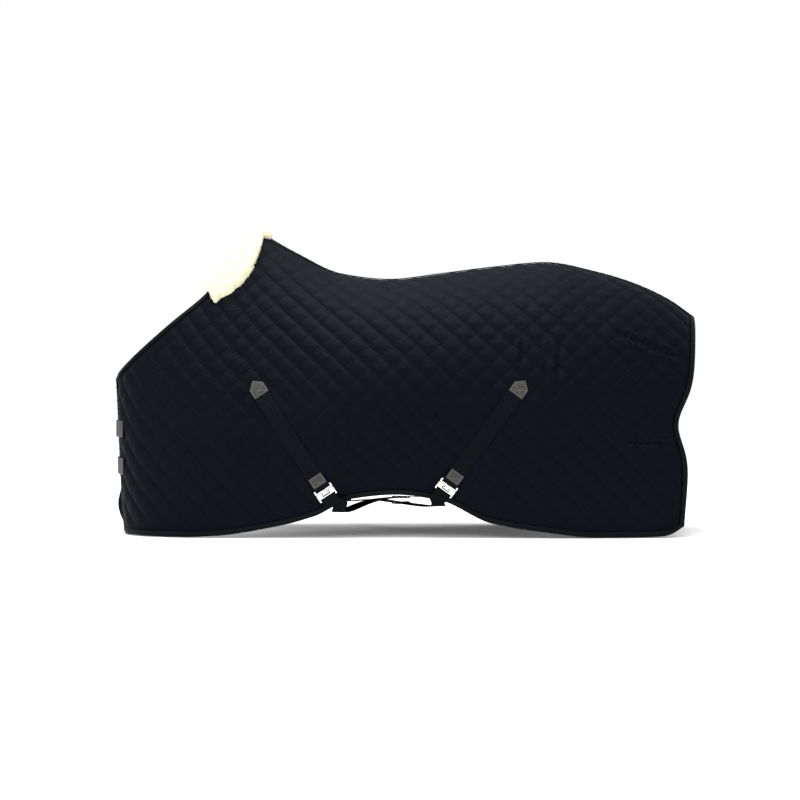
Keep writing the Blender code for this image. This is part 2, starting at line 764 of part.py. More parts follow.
def addEyePlate(name, clip, material):
    half = clipSlot / 2 + clipFrame
    bar = barWidth / 2
    webSlot = rectangle(clipPitch - bar - 0.0040, clipPitch - bar, -clipSlot / 2, clipSlot / 2)
    headSlot = rectangle(eyeStart + barWidth, clipPitch - bar - 0.0040 - 0.0030, -0.0130, 0.0130)
    points, triangles = plateSolid(chamfered(eyeStart, clipPitch + bar, -half, half, 0.0012),
                                   [webSlot, headSlot], plateThickness)
    place = clipPlace(clip)
    addSolid(name, [place(point) for point in points], triangles, material, origin=clip.at(clipPitch, 0))


def addAdjuster(name, frame, heading, material):
    """A flat metal slide, a closed loop that the strap runs through."""
    point, normal, across = frame
    addLoop(name, point, heading, normal, across, webWidth / 2 + 0.0015, webThickness / 2 + 0.0007,
            0.0022, 0.018, material)


def addLoop(name, point, heading, normal, across, half, high, wall, length, material):
    """A rectangular loop round a strap, with cut corners: half is across the strap, high is out from it."""
    cut = wall * 0.5
    spots = []
    for u, v in ((1, 1), (-1, 1), (-1, -1), (1, -1)):
        inner = [(u * half, v * (high - cut * 0.4)), (u * (half - cut * 0.4), v * high)]
        outer = [(u * (half + wall), v * (high + wall - cut)), (u * (half + wall - cut), v * (high + wall))]
        spots += list(zip(inner, outer)) if u * v > 0 else list(zip(inner, outer))[::-1]
    rings = []
    for inner, outer in spots:
        rings.append([point + heading * end * length / 2 + across * spot[0] + normal * spot[1]
                      for end, spot in ((-1, inner), (1, inner), (1, outer), (-1, outer))])
    return addLoft(name, rings, material, closed=True, origin=point)


# Chest straps: everything is laid out round the chest, as (round, out, up) at one height

class ChestLine:
    """The outside of the chest at one height: distances run round it from the middle, off side positive."""

    def __init__(self, height):
        self.height = height * stretch.z
        runs = {}
        for side in (near, off):
            runs[side] = [self.meet(side, index / 60 * 3.2) for index in range(61)]
        line = runs[near][::-1] + runs[off]
        middleIndex = len(runs[near])
        lengths = [0.0]
        for a, b in zip(line, line[1:]):
            lengths.append(lengths[-1] + (b - a).length)
        zero = (lengths[middleIndex - 1] + lengths[middleIndex]) / 2
        self.lengths = [length - zero for length in lengths]
        self.line = line

    def meet(self, side, place):
        low, high = 0.0, 1.0
        for _ in range(24):
            down = (low + high) / 2
            point = facetPoint(side, place, down, shellTop)
            if point.z > self.height:
                low = down
            else:
                high = down
        return point

    def raw(self, distance):
        for a, b, p, q in zip(self.lengths, self.lengths[1:], self.line, self.line[1:]):
            if a <= distance <= b and b > a:
                return p.lerp(q, (distance - a) / (b - a))
        return self.line[0] if distance < self.lengths[0] else self.line[-1]

    def frame(self, distance, out, up=0.0):
        reach = 0.012
        along = (self.raw(distance + reach) - self.raw(distance - reach))
        along.z = 0
        along.normalize()
        normal = along.cross(Vector((0, 0, 1)))
        if normal.x > 0 and abs(distance) < 0.05 or normal.dot(self.raw(distance) - Vector((-0.5, 0, self.height))) < 0:
            normal = -normal
        return self.raw(distance) + normal * out + Vector((0, 0, up)), normal, Vector((0, 0, 1))


buckleRear = 0.078       # round the chest from the middle to the bar that holds the chape
chestLift = 0.0044       # height of the chest webbing above the shell


def smoothFrames(line, knots, steps=3):
    """Frames round the chest through (distance, out) knots."""
    run = []
    for (a, low), (b, high) in zip(knots, knots[1:]):
        for step in range(steps):
            share = step / steps
            run.append(line.frame(a + (b - a) * share, low + (high - low) * smooth(share)))
    run.append(line.frame(*knots[-1]))
    return run


def addChestStrap(level, line, materials):
    webbing, patch, metal = materials
    flat = chestLift
    barOut = flat + webThickness / 2 + seat + 0.0064
    front = buckleRear - buckleLength
    chapeOut = barOut + foldRadius - 0.0008
    # patches on both sides, over the sewn ends of the webbing
    for side in (near, off):
        start = side * chestPatchStart if side == near else off * (buckleRear + 0.046)
        knots = [(start, flat), (start + side * chestPatchLength, 0.0020)]
        run = smoothFrames(line, knots, 4)
        addRibbon(f"{sideNames[side]}_{level}_chest_patch", run, chestPatchWidth, patchThickness, patch, across=2)
    # the strap from the near patch across the chest, through the buckle
    over = barOut + foldRadius + webThickness + 0.0008
    knots = [(-chestPatchStart + 0.0006, flat), (-0.060, flat + 0.0020), (-0.015, flat + 0.0036),
             (0.020, flat + 0.0034), (front, flat), (front + 0.006, flat),
             (buckleRear - 0.004, over), (buckleRear + 0.016, over - 0.0004), (buckleRear + 0.050, flat + 0.0062),
             (buckleRear + 0.088, flat + 0.0050)]
    addBillet(f"{level}_chest_strap", line, knots, front, webbing)
    # the chape: webbing from the off patch, round the rear bar and back under itself
    inner = foldRadius - 0.0008
    bar = line.frame(buckleRear, barOut)
    tangent = (line.frame(buckleRear + 0.01, barOut)[0] - line.frame(buckleRear - 0.01, barOut)[0]).normalized()
    chape = [turnedOver(line.frame(buckleRear + 0.0454, flat - 0.0002)), turnedOver(line.frame(buckleRear + 0.030, flat))]
    turns = 6
    for step in range(turns + 1):
        angle = -pi / 2 - pi * step / turns
        normal = tangent * cos(angle) + bar[1] * sin(angle)
        chape.append((bar[0] + normal * inner, normal, bar[2]))
    chape.append(line.frame(buckleRear + 0.020, barOut + inner - 0.0016))
    addChape(f"{level}_chape", chape, webbing)
    addBuckle(level, line, bar, tangent, barOut, metal)
    # keeper: a webbing loop round the strap and the chape, behind the buckle
    addKeeper(f"{level}_keeper", line.frame(buckleRear + keeperReach, 0), tangentAt(line, buckleRear + keeperReach), webbing)


def turnedOver(frame):
    return frame[0], -frame[1], frame[2]


def tangentAt(line, distance):
    return (line.frame(distance + 0.01, 0)[0] - line.frame(distance - 0.01, 0)[0]).normalized()


def cutAway(item, solid, place):
    """Takes a placed block out of a finished piece."""
    cutter = addSolid("cutter", [place(point) for point in solid[0]], solid[1], item.data.materials[0])
    hole = item.modifiers.new("slot", "BOOLEAN")
    hole.operation = "DIFFERENCE"
    hole.object = cutter
    bpy.context.view_layer.update()
    graph = bpy.context.evaluated_depsgraph_get()
    mesh = bpy.data.meshes.new_from_object(item.evaluated_get(graph))
    item.modifiers.clear()
    faceOut(mesh)
    item.data = mesh
    mesh.name = item.name
    bpy.data.objects.remove(cutter)


def tongueSlot(line, start, stop, low, high):
    """A block along the chest line, as wide as the slot that the tongue works in."""
    solid = blockSolid(start, stop, -tongueSlotWidth / 2, tongueSlotWidth / 2, low, high)
    return solid


def addBillet(name, line, knots, front, material):
    item = addRibbon(name, smoothFrames(line, knots, 4), webWidth, webThickness, material)
    bar, normal, up = line.frame(buckleRear, 0)
    tangent = tangentAt(line, buckleRear)
    place = lambda spot: bar + tangent * spot.x + up * spot.y + normal * spot.z
    cutAway(item, tongueSlot(line, -0.0235, -0.0010, -0.010, 0.030), place)


def addChape(name, run, material):
    item = addRibbon(name, run, webWidth, webThickness, material)
    bar = sum((run[index][0] for index in (2, 8)), Vector((0, 0, 0))) / 2
    outward, up = run[8][1], run[2][2]
    tangent = outward.cross(up)
    if tangent.dot(run[0][0] - bar) < 0:
        tangent = -tangent
    place = lambda spot: bar + tangent * spot.x + up * spot.y + outward * spot.z
    cutAway(item, blockSolid(-0.012, 0.0105, -tongueSlotWidth / 2, tongueSlotWidth / 2, -0.0060, 0.0080), place)


def circle(centre, first, second, radius, sides):
    return [centre + first * radius * cos(2 * pi * step / sides) + second * radius * sin(2 * pi * step / sides)
            for step in range(sides)]


def addTube(name, centre, axis, inner, outer, length, material, sides=12):
    """A plain tube round an axis, as one ring of rectangles."""
    first = axis.orthogonal().normalized()
    second = axis.cross(first)
    rings = []
    for step in range(sides):
        away = first * cos(2 * pi * step / sides) + second * sin(2 * pi * step / sides)
        rings.append([centre + away * radius + axis * end for radius, end in
                      ((inner, -length / 2), (outer, -length / 2), (outer, length / 2), (inner, length / 2))])
    return addLoft(name, rings, material, closed=True, origin=centre)


def addBuckle(level, line, bar, tangent, barOut, material):
    """Frame, roller and tongue: the frame turns about the chape's bar, the roller about the far bar."""
    centre, normal, up = bar
    radius, half, corner = buckleWire / 2, clipSlot / 2 + buckleWire / 2, 0.004
    far = -buckleLength
    corners = [(0, half), (far, half), (far, -half), (0, -half)]
    path = []
    for (x, y) in corners:
        dx, dy = (corner if x < 0 else -corner), (-corner if y > 0 else corner)
        arc = [(x, y + dy), (x + dx * 0.29, y + dy * 0.29), (x + dx, y)]
        path += arc if (x < 0) == (y < 0) else arc[::-1]
    spots = [centre + tangent * x + up * y for x, y in path]
    rings = []
    for index, spot in enumerate(spots):
        ahead = (spots[(index + 1) % len(spots)] - spots[index - 1]).normalized()
        rings.append(circle(spot, ahead.cross(normal).normalized(), normal, radius, 8))
    addLoft(f"{level}_buckle_frame", rings, material, closed=True, origin=centre)
    inner = radius + rollerGap
    outer = inner + rollerWall
    addTube(f"{level}_buckle_roller", centre + tangent * far, up, inner, outer, clipSlot - 0.010, material)
    eyeInner, eyeOuter = radius + 0.0004, radius + 0.0018
    place = lambda spot: centre - tangent * spot.x + up * spot.y + normal * spot.z
    points, triangles = tongueSolid(eyeInner, eyeOuter, outer + 0.0004)
    addSolid(f"{level}_buckle_tongue", [place(point) for point in points], triangles, material, origin=centre)


def tongueSolid(inner, outer, low):
    """The prong seen from the side, with a round eye for the bar: it reaches just past the roller."""
    thick, sides = 0.0022, 10
    tip = buckleLength + 0.0040
    sweep = [pi * 0.42 + pi * 1.66 * step / sides for step in range(sides + 1)]
    outline = [(outer * cos(angle), outer * sin(angle)) for angle in sweep]
    outline += [(outer + 0.002, 0.0), (buckleLength - 0.004, low), (tip, low), (tip, low + thick * 0.7),
                (buckleLength - 0.004, low + thick), (outer * 0.8, outer * 0.95)]
    hole = [(inner * cos(2 * pi * step / sides), inner * sin(2 * pi * step / sides)) for step in range(sides)]
    points, triangles = plateSolid(outline, [hole], tongueWidth)
    return [Vector((point.x, point.z, point.y)) for point in points], triangles


def addKeeper(name, frame, tangent, material):
    """A webbing loop that holds the strap's end down on the chape."""
    point, normal, up = frame
    low, high = 0.0024, 0.0210
    addLoop(name, point + normal * (low + high) / 2, tangent, normal, up, webWidth / 2 + 0.0022,
            (high - low) / 2, 0.0010, keeperWidth, material)


# Assembly

def standOnFloor():
    """Moves the whole rug so that its lowest point is on the floor and the origin is under its middle."""
    corners = [item.location + corner.co for item in bpy.context.collection.objects for corner in item.data.vertices]
    low = Vector([min(corner[axis] for corner in corners) for axis in range(3)])
    high = Vector([max(corner[axis] for corner in corners) for axis in range(3)])
    shift = Vector(((low.x + high.x) / 2, (low.y + high.y) / 2, low.z))
    for item in bpy.context.collection.objects:
        item.location -= shift


def build():
    clearScene()
    fabric = makeMaterial("quilted_fabric", (18, 20, 27), 0.85)
    lining = makeMaterial("lining_fabric", (24, 25, 30), 0.80)
    wadding = makeMaterial("wadding_fibre", (225, 225, 220), 0.95)
    tape = makeMaterial("binding_tape", (16, 18, 24), 0.75)
    fleece = makeMaterial("fleece_pile", (250, 249, 226), 0.95)
    webbing = makeMaterial("navy_webbing", (40, 41, 52), 0.80)
    patch = makeMaterial("grey_patch", (92, 89, 88), 0.75)
    metal = makeMaterial("nickel_plate", (200, 200, 202), 0.25, 1.0)

    for side in (near, off):
        name = sideNames[side]
        low = 0.0
        addLayer(f"{name}_lining", side, low, low + liningThickness, lining)
        low += liningThickness + layerGap
        addLayer(f"{name}_wadding", side, low, low + waddingThickness, wadding)
        low += waddingThickness + layerGap
        addLayer(f"{name}_outer_shell", side, low, low + shellThickness, fabric)
        corner = bindingWidth + bindingThickness + 0.001
        addBinding(f"{name}_hem_binding", side, "hem", tape, 0.0, 0.0)
        addBinding(f"{name}_front_binding", side, "front", tape, corner, corner)
        addBinding(f"{name}_tail_binding", side, "tail", tape, corner, corner)
        addBinding(f"{name}_neck_binding", side, "neck", tape, 0.0, 0.004)
    addBackTape(tape)
    addFleece(fleece)

    clips = {}
    for end, foot, spot in (("front", frontPatchFoot, frontClip), ("rear", rearPatchFoot, rearClip)):
        foot, spot = drawn(foot), drawn(spot)
        heading = (spot - foot).normalized()
        outline = patchOutline(patchShoulder, patchHeight, webWidth / 2)
        for side in (near, off):
            addDrapedPlate(f"{sideNames[side]}_{end}_patch", side, foot, -heading, outline, patchThickness,
                           0.0007, patch)
        clip = Clip(near, spot, heading)
        clips[end] = clip
        run = shortStrapFrames(near, foot, clip, spot)
        addRibbon(f"near_{end}_strap", run, webWidth, webThickness, webbing)
        rise = webThickness / 2 + seat + 0.0004 + patchThickness / 2
        tab = [(point + normal * rise, normal, across) for point, normal, across in run[8:11]]
        addRibbon(f"near_{end}_tab", tab, tabWidth, patchThickness, patch)
        addHook(f"{end}_hook", clip, metal)
        addEyePlate(f"{end}_eye_plate", clip, metal)

    belts = {}
    for end, farEnd, lift in (("front", "rear", 0.0065), ("rear", "front", 0.0)):
        nearHem = {"front": -0.195, "rear": 0.090}
        foot = drawn({"front": frontPatchFoot, "rear": rearPatchFoot}[farEnd])
        run = beltFrames(clips[end], off, foot, nearHem[farEnd] * stretch.x, lift, nearHem[end] * stretch.x)
        belts[end] = run
        addRibbon(f"{end}_belly_strap", run, webWidth, webThickness, webbing)
    for end, share in (("front", 1), ("rear", -1)):
        run = belts[end]
        flatRun = [frame for frame in run if frame[1].z < -0.98]
        wanted = share * adjusterReach
        frame = min(flatRun, key=lambda item: abs(item[0].y - wanted))
        index = run.index(frame)
        heading = (run[index + 1][0] - run[index - 1][0]).normalized()
        addAdjuster(f"{end}_adjuster", frame, heading, metal)

    for level, height in chestStrapHeights.items():
        addChestStrap(level, ChestLine(height), (webbing, patch, metal))
    standOnFloor()


build()
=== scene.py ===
import heapq
import json
import random
from math import cos, pi, radians, sin

import bmesh
import bpy
import numpy as np
from mathutils import Matrix, Vector, noise
from mathutils.bvhtree import BVHTree


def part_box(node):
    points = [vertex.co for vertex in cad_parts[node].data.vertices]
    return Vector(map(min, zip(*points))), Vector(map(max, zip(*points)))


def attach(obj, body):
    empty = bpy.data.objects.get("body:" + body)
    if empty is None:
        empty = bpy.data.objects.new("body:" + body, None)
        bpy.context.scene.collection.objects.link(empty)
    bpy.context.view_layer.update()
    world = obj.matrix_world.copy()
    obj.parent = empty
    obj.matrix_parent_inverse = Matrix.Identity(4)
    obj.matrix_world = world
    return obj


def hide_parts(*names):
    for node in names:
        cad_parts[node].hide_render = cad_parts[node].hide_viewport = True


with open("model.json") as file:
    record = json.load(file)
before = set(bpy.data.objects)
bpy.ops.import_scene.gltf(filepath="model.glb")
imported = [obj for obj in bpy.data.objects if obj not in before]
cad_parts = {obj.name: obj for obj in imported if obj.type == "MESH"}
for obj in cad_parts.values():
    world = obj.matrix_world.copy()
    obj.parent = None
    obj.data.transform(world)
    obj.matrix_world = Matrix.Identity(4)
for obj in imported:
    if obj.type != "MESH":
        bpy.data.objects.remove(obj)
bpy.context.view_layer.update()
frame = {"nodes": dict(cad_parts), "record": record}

scene = bpy.context.scene
near, off = -1, 1
sideName = {near: "near", off: "off"}


# Materials

def linearColour(code):
    # sRGB hex to the linear values that shaders take
    values = [int(code[i:i + 2], 16) / 255 for i in (1, 3, 5)]
    return (*[v / 12.92 if v <= 0.04045 else ((v + 0.055) / 1.055) ** 2.4 for v in values], 1)


def addNode(tree, kind, settings=None, links=None):
    # one node, with its settings, and its inputs set or linked
    node = tree.nodes.new(kind)
    for key, value in (settings or {}).items():
        setattr(node, key, value)
    for key, value in (links or {}).items():
        if isinstance(value, bpy.types.NodeSocket):
            tree.links.new(value, node.inputs[key])
        else:
            node.inputs[key].default_value = value
    return node


def startMaterial(name, roughness, metallic=0.0, shine=0.5):
    material = bpy.data.materials.new(name)
    material.use_nodes = True
    tree = material.node_tree
    shader = tree.nodes["Principled BSDF"]
    shader.inputs["Roughness"].default_value = roughness
    shader.inputs["Metallic"].default_value = metallic
    shader.inputs["Specular IOR Level"].default_value = shine
    return material, tree, shader


def blendColours(tree, share, low, high):
    ramp = addNode(tree, "ShaderNodeMix", {"data_type": "RGBA"}, {"Factor": share})
    ramp.inputs[6].default_value = linearColour(low)
    ramp.inputs[7].default_value = linearColour(high)
    return ramp.outputs[2]


def maths(tree, operation, first, second=0.0, third=0.0):
    inputs = {0: first, 1: second}
    if operation == "MULTIPLY_ADD":
        inputs[2] = third
    return addNode(tree, "ShaderNodeMath", {"operation": operation}, inputs).outputs[0]


def noiseFac(tree, place, scale, detail, roughness=0.5):
    values = {"Vector": place, "Scale": scale, "Detail": detail, "Roughness": roughness}
    return addNode(tree, "ShaderNodeTexNoise", None, values).outputs["Fac"]


def waveFac(tree, place, direction, pitch, distortion=0.0, detail=2.0):
    # bands of threads, one to each pitch
    values = {"Vector": place, "Scale": 0.5 / pitch, "Distortion": distortion, "Detail": detail}
    return addNode(tree, "ShaderNodeTexWave", {"bands_direction": direction}, values).outputs["Fac"]


def objectPlace(tree):
    return addNode(tree, "ShaderNodeTexCoord").outputs["Object"]


def colourBy(tree, shader, share, low, high):
    tree.links.new(blendColours(tree, share, low, high), shader.inputs["Base Color"])


def liftBy(tree, shader, strength, distance, height):
    values = {"Strength": strength, "Distance": distance, "Height": height}
    lift = addNode(tree, "ShaderNodeBump", None, values)
    tree.links.new(lift.outputs[0], shader.inputs["Normal"])


def clothPlace(tree):
    # the two lengths, in metres, that run over the cloth
    read = addNode(tree, "ShaderNodeUVMap", {"uv_map": "cloth"})
    parts = addNode(tree, "ShaderNodeSeparateXYZ", None, {0: read.outputs[0]})
    return read.outputs[0], parts.outputs[0], parts.outputs[1]


def distanceToLine(tree, place, pitch):
    # distance in pitches from the nearest multiple of the pitch, 0 to 0.5
    turns = maths(tree, "MULTIPLY", place, 1 / pitch)
    return maths(tree, "ABSOLUTE", maths(tree, "SUBTRACT", turns, maths(tree, "ROUND", turns)))


quilt = {"pitch": 0.050, "stitch": 0.0036, "dash": 0.36, "thread": 0.0007, "weave": 0.0013}


def makeQuiltCloth():
    # Polycotton drill, piece-dyed dark navy: matt, with a faint lift of light on the crown of each diamond
    material, tree, shader = startMaterial("polycottonDrill", 0.6, shine=0.03)
    place, s, t = clothPlace(tree)
    soft = noiseFac(tree, place, 9.0, 4.0, 0.6)
    fine = noiseFac(tree, place, 420.0, 3.0, 0.7)
    share = maths(tree, "MULTIPLY_ADD", fine, 0.35, maths(tree, "MULTIPLY", soft, 0.65))
    base = blendColours(tree, share, "#020407", "#060a10")
    diagonal = [maths(tree, "MULTIPLY", maths(tree, kind, s, t), 0.70711) for kind in ("ADD", "SUBTRACT")]
    stitch = None
    for across, along in (diagonal, diagonal[::-1]):
        gap = maths(tree, "MULTIPLY", distanceToLine(tree, across, quilt["pitch"]), quilt["pitch"])
        on = maths(tree, "LESS_THAN", gap, quilt["thread"])
        dash = maths(tree, "LESS_THAN", distanceToLine(tree, along, quilt["stitch"]), quilt["dash"])
        thread = maths(tree, "MULTIPLY", on, dash)
        stitch = thread if stitch is None else maths(tree, "MAXIMUM", stitch, thread)
    cover = maths(tree, "MULTIPLY", stitch, 0.6)
    colour = addNode(tree, "ShaderNodeMix", {"data_type": "RGBA"}, {"Factor": cover, 6: base})
    colour.inputs[7].default_value = linearColour("#10141c")
    tree.links.new(colour.outputs[2], shader.inputs["Base Color"])
    # plain weave, drawn coarser than its 0.5 mm threads so that it shows
    warp, weft = [waveFac(tree, place, way, quilt["weave"], 0.6, 1.0) for way in ("X", "Y")]
    weave = maths(tree, "ADD", warp, weft)
    # small puckers that gather at the stitching
    ripple = noiseFac(tree, place, 75.0, 3.0, 0.62)
    raised = maths(tree, "MULTIPLY_ADD", ripple, 1.0, maths(tree, "MULTIPLY", stitch, 0.35))
    liftBy(tree, shader, 0.55, 0.0016, maths(tree, "MULTIPLY_ADD", weave, 0.035, raised))
    return material


def makeLining():
    # Nylon taffeta lining: smoother than the outer, with a soft shine
    material, tree, shader = startMaterial("nylonLining", 0.48, shine=0.06)
    place, s, t = clothPlace(tree)
    colourBy(tree, shader, noiseFac(tree, place, 12.0, 3.0), "#06080b", "#0d1015")
    liftBy(tree, shader, 0.4, 0.0012, noiseFac(tree, place, 90.0, 3.0))
    return material


def makeTape():
    # Folded polyester binding tape: fine cross ribs and a slightly darker, smoother face than the cloth
    material, tree, shader = startMaterial("polyesterTape", 0.5, shine=0.045)
    place, s, t = clothPlace(tree)
    soft = noiseFac(tree, place, 60.0, 4.0)
    colourBy(tree, shader, soft, "#030406", "#090c11")
    rib = waveFac(tree, place, "X", 0.0016, 0.3)
    liftBy(tree, shader, 0.5, 0.0008, maths(tree, "MULTIPLY_ADD", rib, 0.25, soft))
    return material


def makePile(name, low, high):
    # Acrylic fleece: soft cream pile, matt. The colour is painted lighter where the clumps stand up, and the tips'
    # copy is painted lighter than the ground's: painted highlight for the light caught in the tips
    material, tree, shader = startMaterial(name, 0.95, shine=0.1)
    clump = noiseFac(tree, objectPlace(tree), 120.0, 5.0, 0.65)
    # colour and bump share the clump noise: the raised clumps are painted lighter, a painted highlight
    colourBy(tree, shader, clump, low, high)
    liftBy(tree, shader, 0.7, 0.003, clump)
    return material


def makePatchCloth():
    # Grey coated nylon patch: a plain weave with a dull coat, a little scuffed
    material, tree, shader = startMaterial("coatedNylonPatch", 0.55, shine=0.2)
    place, s, t = clothPlace(tree)
    soft = noiseFac(tree, place, 70.0, 4.0, 0.6)
    colourBy(tree, shader, soft, "#201f1f", "#3a3938")
    warp, weft = [waveFac(tree, place, way, 0.0014) for way in ("X", "Y")]
    weave = maths(tree, "MULTIPLY", warp, weft)
    liftBy(tree, shader, 0.45, 0.0007, maths(tree, "MULTIPLY_ADD", weave, 0.5, soft))
    return material


def makeWebbing():
    # Polypropylene webbing, navy: cords lie along it in a herringbone, with a low waxy shine; the grooves between
    # the cords are painted darker as painted shade
    material, tree, shader = startMaterial("polypropyleneWebbing", 0.5, shine=0.03)
    place, s, t = clothPlace(tree)
    lane = distanceToLine(tree, t, 0.012)      # four herringbone lanes across the width
    slant = maths(tree, "MULTIPLY_ADD", lane, 0.012, s)
    cordHeightAndShade = distanceToLine(tree, slant, 0.0022)
    soft = noiseFac(tree, place, 45.0, 3.0)
    # colour follows the cord height: painted shade in the grooves and painted highlight on the cords, plus random
    # tone from the noise
    share = maths(tree, "MULTIPLY_ADD", cordHeightAndShade, 1.1, maths(tree, "MULTIPLY", soft, 0.45))
    colourBy(tree, shader, share, "#020304", "#0b0c12")
    liftBy(tree, shader, 0.6, 0.0009, cordHeightAndShade)
    return material


def makeThread(name, colour):
    # Bonded nylon thread: a small bright twist
    material, tree, shader = startMaterial(name, 0.45, shine=0.2)
    colourBy(tree, shader, noiseFac(tree, objectPlace(tree), 1400.0, 2.0), *colour)
    return material


def makeNickel():
    # Nickel-plated steel, tumbled and polished: bright, with fine rub marks that break up the shine
    material, tree, shader = startMaterial("nickelPlate", 0.2, metallic=1.0)
    place = objectPlace(tree)
    rub = noiseFac(tree, place, 260.0, 6.0, 0.7)
    colourBy(tree, shader, noiseFac(tree, place, 40.0, 3.0), "#b9b7b2", "#d9d8d5")
    tree.links.new(maths(tree, "MULTIPLY_ADD", rub, 0.22, 0.13), shader.inputs["Roughness"])
    liftBy(tree, shader, 0.12, 0.0003, rub)
    return material


finish = {
    "quilt": makeQuiltCloth(), "lining": makeLining(), "tape": makeTape(),
    # the tips' colours are painted lighter than the ground's: painted highlight on the pile tips
    "fleece": makePile("fleeceGround", "#cbc7a6", "#e0dcc0"), "tufts": makePile("fleeceTipsPaintedHighlight", "#d6d2b6", "#e3dfc8"),
    "patch": makePatchCloth(), "web": makeWebbing(), "nickel": makeNickel(),
    "navyThread": makeThread("navyThread", ("#080a0f", "#141821")),
    "greyThread": makeThread("greyThread", ("#6b6969", "#8c8989")),
}
print("materials made")


# The lines that the rug hangs on: the same ones the frame was drawn from

floorShift = Vector((0.0038, 0.0, 0.0026))        # centres the rug and stands its hem on the floor
stations = np.array([
    # top edge                  upper handle            lower handle            hem
    ((-0.884, 0.018, 0.470), (-0.874, 0.018, 0.350), (-0.872, 0.020, 0.160), (-0.857, 0.034, 0.003)),
    ((-0.868, 0.074, 0.489), (-0.872, 0.092, 0.390), (-0.862, 0.115, 0.180), (-0.840, 0.120, 0.003)),
    ((-0.800, 0.136, 0.551), (-0.812, 0.190, 0.450), (-0.790, 0.240, 0.210), (-0.770, 0.205, 0.003)),
    ((-0.700, 0.160, 0.638), (-0.706, 0.225, 0.530), (-0.680, 0.300, 0.240), (-0.665, 0.240, 0.003)),
    ((-0.592, 0.140, 0.733), (-0.590, 0.205, 0.640), (-0.565, 0.345, 0.320), (-0.550, 0.252, 0.009)),
    ((-0.528, 0.105, 0.823), (-0.525, 0.165, 0.735), (-0.495, 0.360, 0.370), (-0.470, 0.258, 0.020)),
    ((-0.478, 0.058, 0.877), (-0.475, 0.115, 0.800), (-0.440, 0.368, 0.400), (-0.420, 0.262, 0.030)),
    ((-0.448, 0.000, 0.907), (-0.440, 0.070, 0.872), (-0.400, 0.375, 0.420), (-0.380, 0.264, 0.037)),
    ((-0.340, 0.000, 0.846), (-0.335, 0.110, 0.832), (-0.300, 0.390, 0.440), (-0.280, 0.268, 0.064)),
    ((-0.200, 0.000, 0.783), (-0.200, 0.180, 0.776), (-0.165, 0.410, 0.450), (-0.160, 0.266, 0.120)),
    ((-0.050, 0.000, 0.766), (-0.050, 0.215, 0.764), (-0.030, 0.415, 0.450), (-0.030, 0.262, 0.132)),
    ((0.110, 0.000, 0.784), (0.110, 0.225, 0.783), (0.110, 0.405, 0.450), (0.105, 0.264, 0.114)),
    ((0.270, 0.000, 0.804), (0.270, 0.230, 0.803), (0.265, 0.390, 0.440), (0.255, 0.270, 0.046)),
    ((0.430, 0.000, 0.818), (0.430, 0.235, 0.816), (0.425, 0.375, 0.430), (0.420, 0.272, 0.018)),
    ((0.583, 0.000, 0.790), (0.588, 0.230, 0.785), (0.580, 0.355, 0.400), (0.565, 0.268, 0.003)),
    ((0.700, 0.000, 0.755), (0.712, 0.205, 0.742), (0.700, 0.330, 0.360), (0.675, 0.262, 0.003)),
    ((0.806, 0.000, 0.706), (0.824, 0.170, 0.690), (0.795, 0.300, 0.330), (0.768, 0.252, 0.006)),
    ((0.886, 0.000, 0.651), (0.876, 0.150, 0.625), (0.846, 0.262, 0.330), (0.826, 0.236, 0.032)),
])
wither = 7
lastPlace = len(stations) - 1.0
shellTop = 0.0112                                  # from the lining's inner face to the top of the cloth
bindingWidth = 0.016
neckEnd = 4.06                                     # the neck binding runs in under the fleece here


def slopes(values, corner):
    # tangents that keep flats flat, one-sided at a corner
    steps = np.diff(values)
    found = np.zeros(len(values))
    found[0], found[-1] = steps[0], steps[-1]
    for i in range(1, len(steps)):
        a, b = steps[i - 1], steps[i]
        found[i] = 0 if a * b <= 0 else 2 * a * b / (a + b)
    inward, outward = found.copy(), found.copy()
    if corner is not None:
        inward[corner], outward[corner] = steps[corner - 1], steps[corner]
    return inward, outward


tangents = [[slopes(stations[:, row, axis], wither if row < 2 else None) for axis in range(3)] for row in range(4)]


def readRow(row, place):
    first = np.minimum(place.astype(int), len(stations) - 2)
    t = place - first
    found = []
    for axis in range(3):
        inward, outward = tangents[row][axis]
        a, b = stations[first, row, axis], stations[first + 1, row, axis]
        found.append(a * (1 + 2 * t) * (1 - t) ** 2 + outward[first] * t * (1 - t) ** 2
                     + b * t * t * (3 - 2 * t) + inward[first + 1] * t * t * (t - 1))
    return np.stack(found, -1)


def hump(value, middle, spread):
    return np.exp(-((value - middle) / spread) ** 2)


def ease(value):
    value = np.clip(value, 0, 1)
    return value * value * (3 - 2 * value)


def innerFace(side, place, down):
    # the lining's inner face: place counts the stations from the front, down runs from the top to the hem
    place, down = np.broadcast_arrays(np.asarray(place, float), np.asarray(down, float))
    handles = [readRow(row, place) for row in range(4)]
    d = np.clip(down, 0, 1)[..., None]
    up = 1 - d
    point = handles[0] * up ** 3 + handles[1] * 3 * up * up * d + handles[2] * 3 * up * d * d + handles[3] * d ** 3
    point[..., 0] -= 0.040 * hump(point[..., 2], 0.335, 0.085) * ease((place - 14) / 3)
    if side == off:
        point[..., 0] -= 0.022 * hump(point[..., 2], 0.075, 0.055) * ease(1 - place / 2)
    point[..., 1] *= side
    spine = (place > wither) & (down <= 0)
    point[..., 1] = np.where(spine, side * 0.0003, point[..., 1])
    return point + np.array(floorShift)


def unit(vectors):
    return vectors / np.maximum(np.linalg.norm(vectors, axis=-1, keepdims=True), 1e-12)


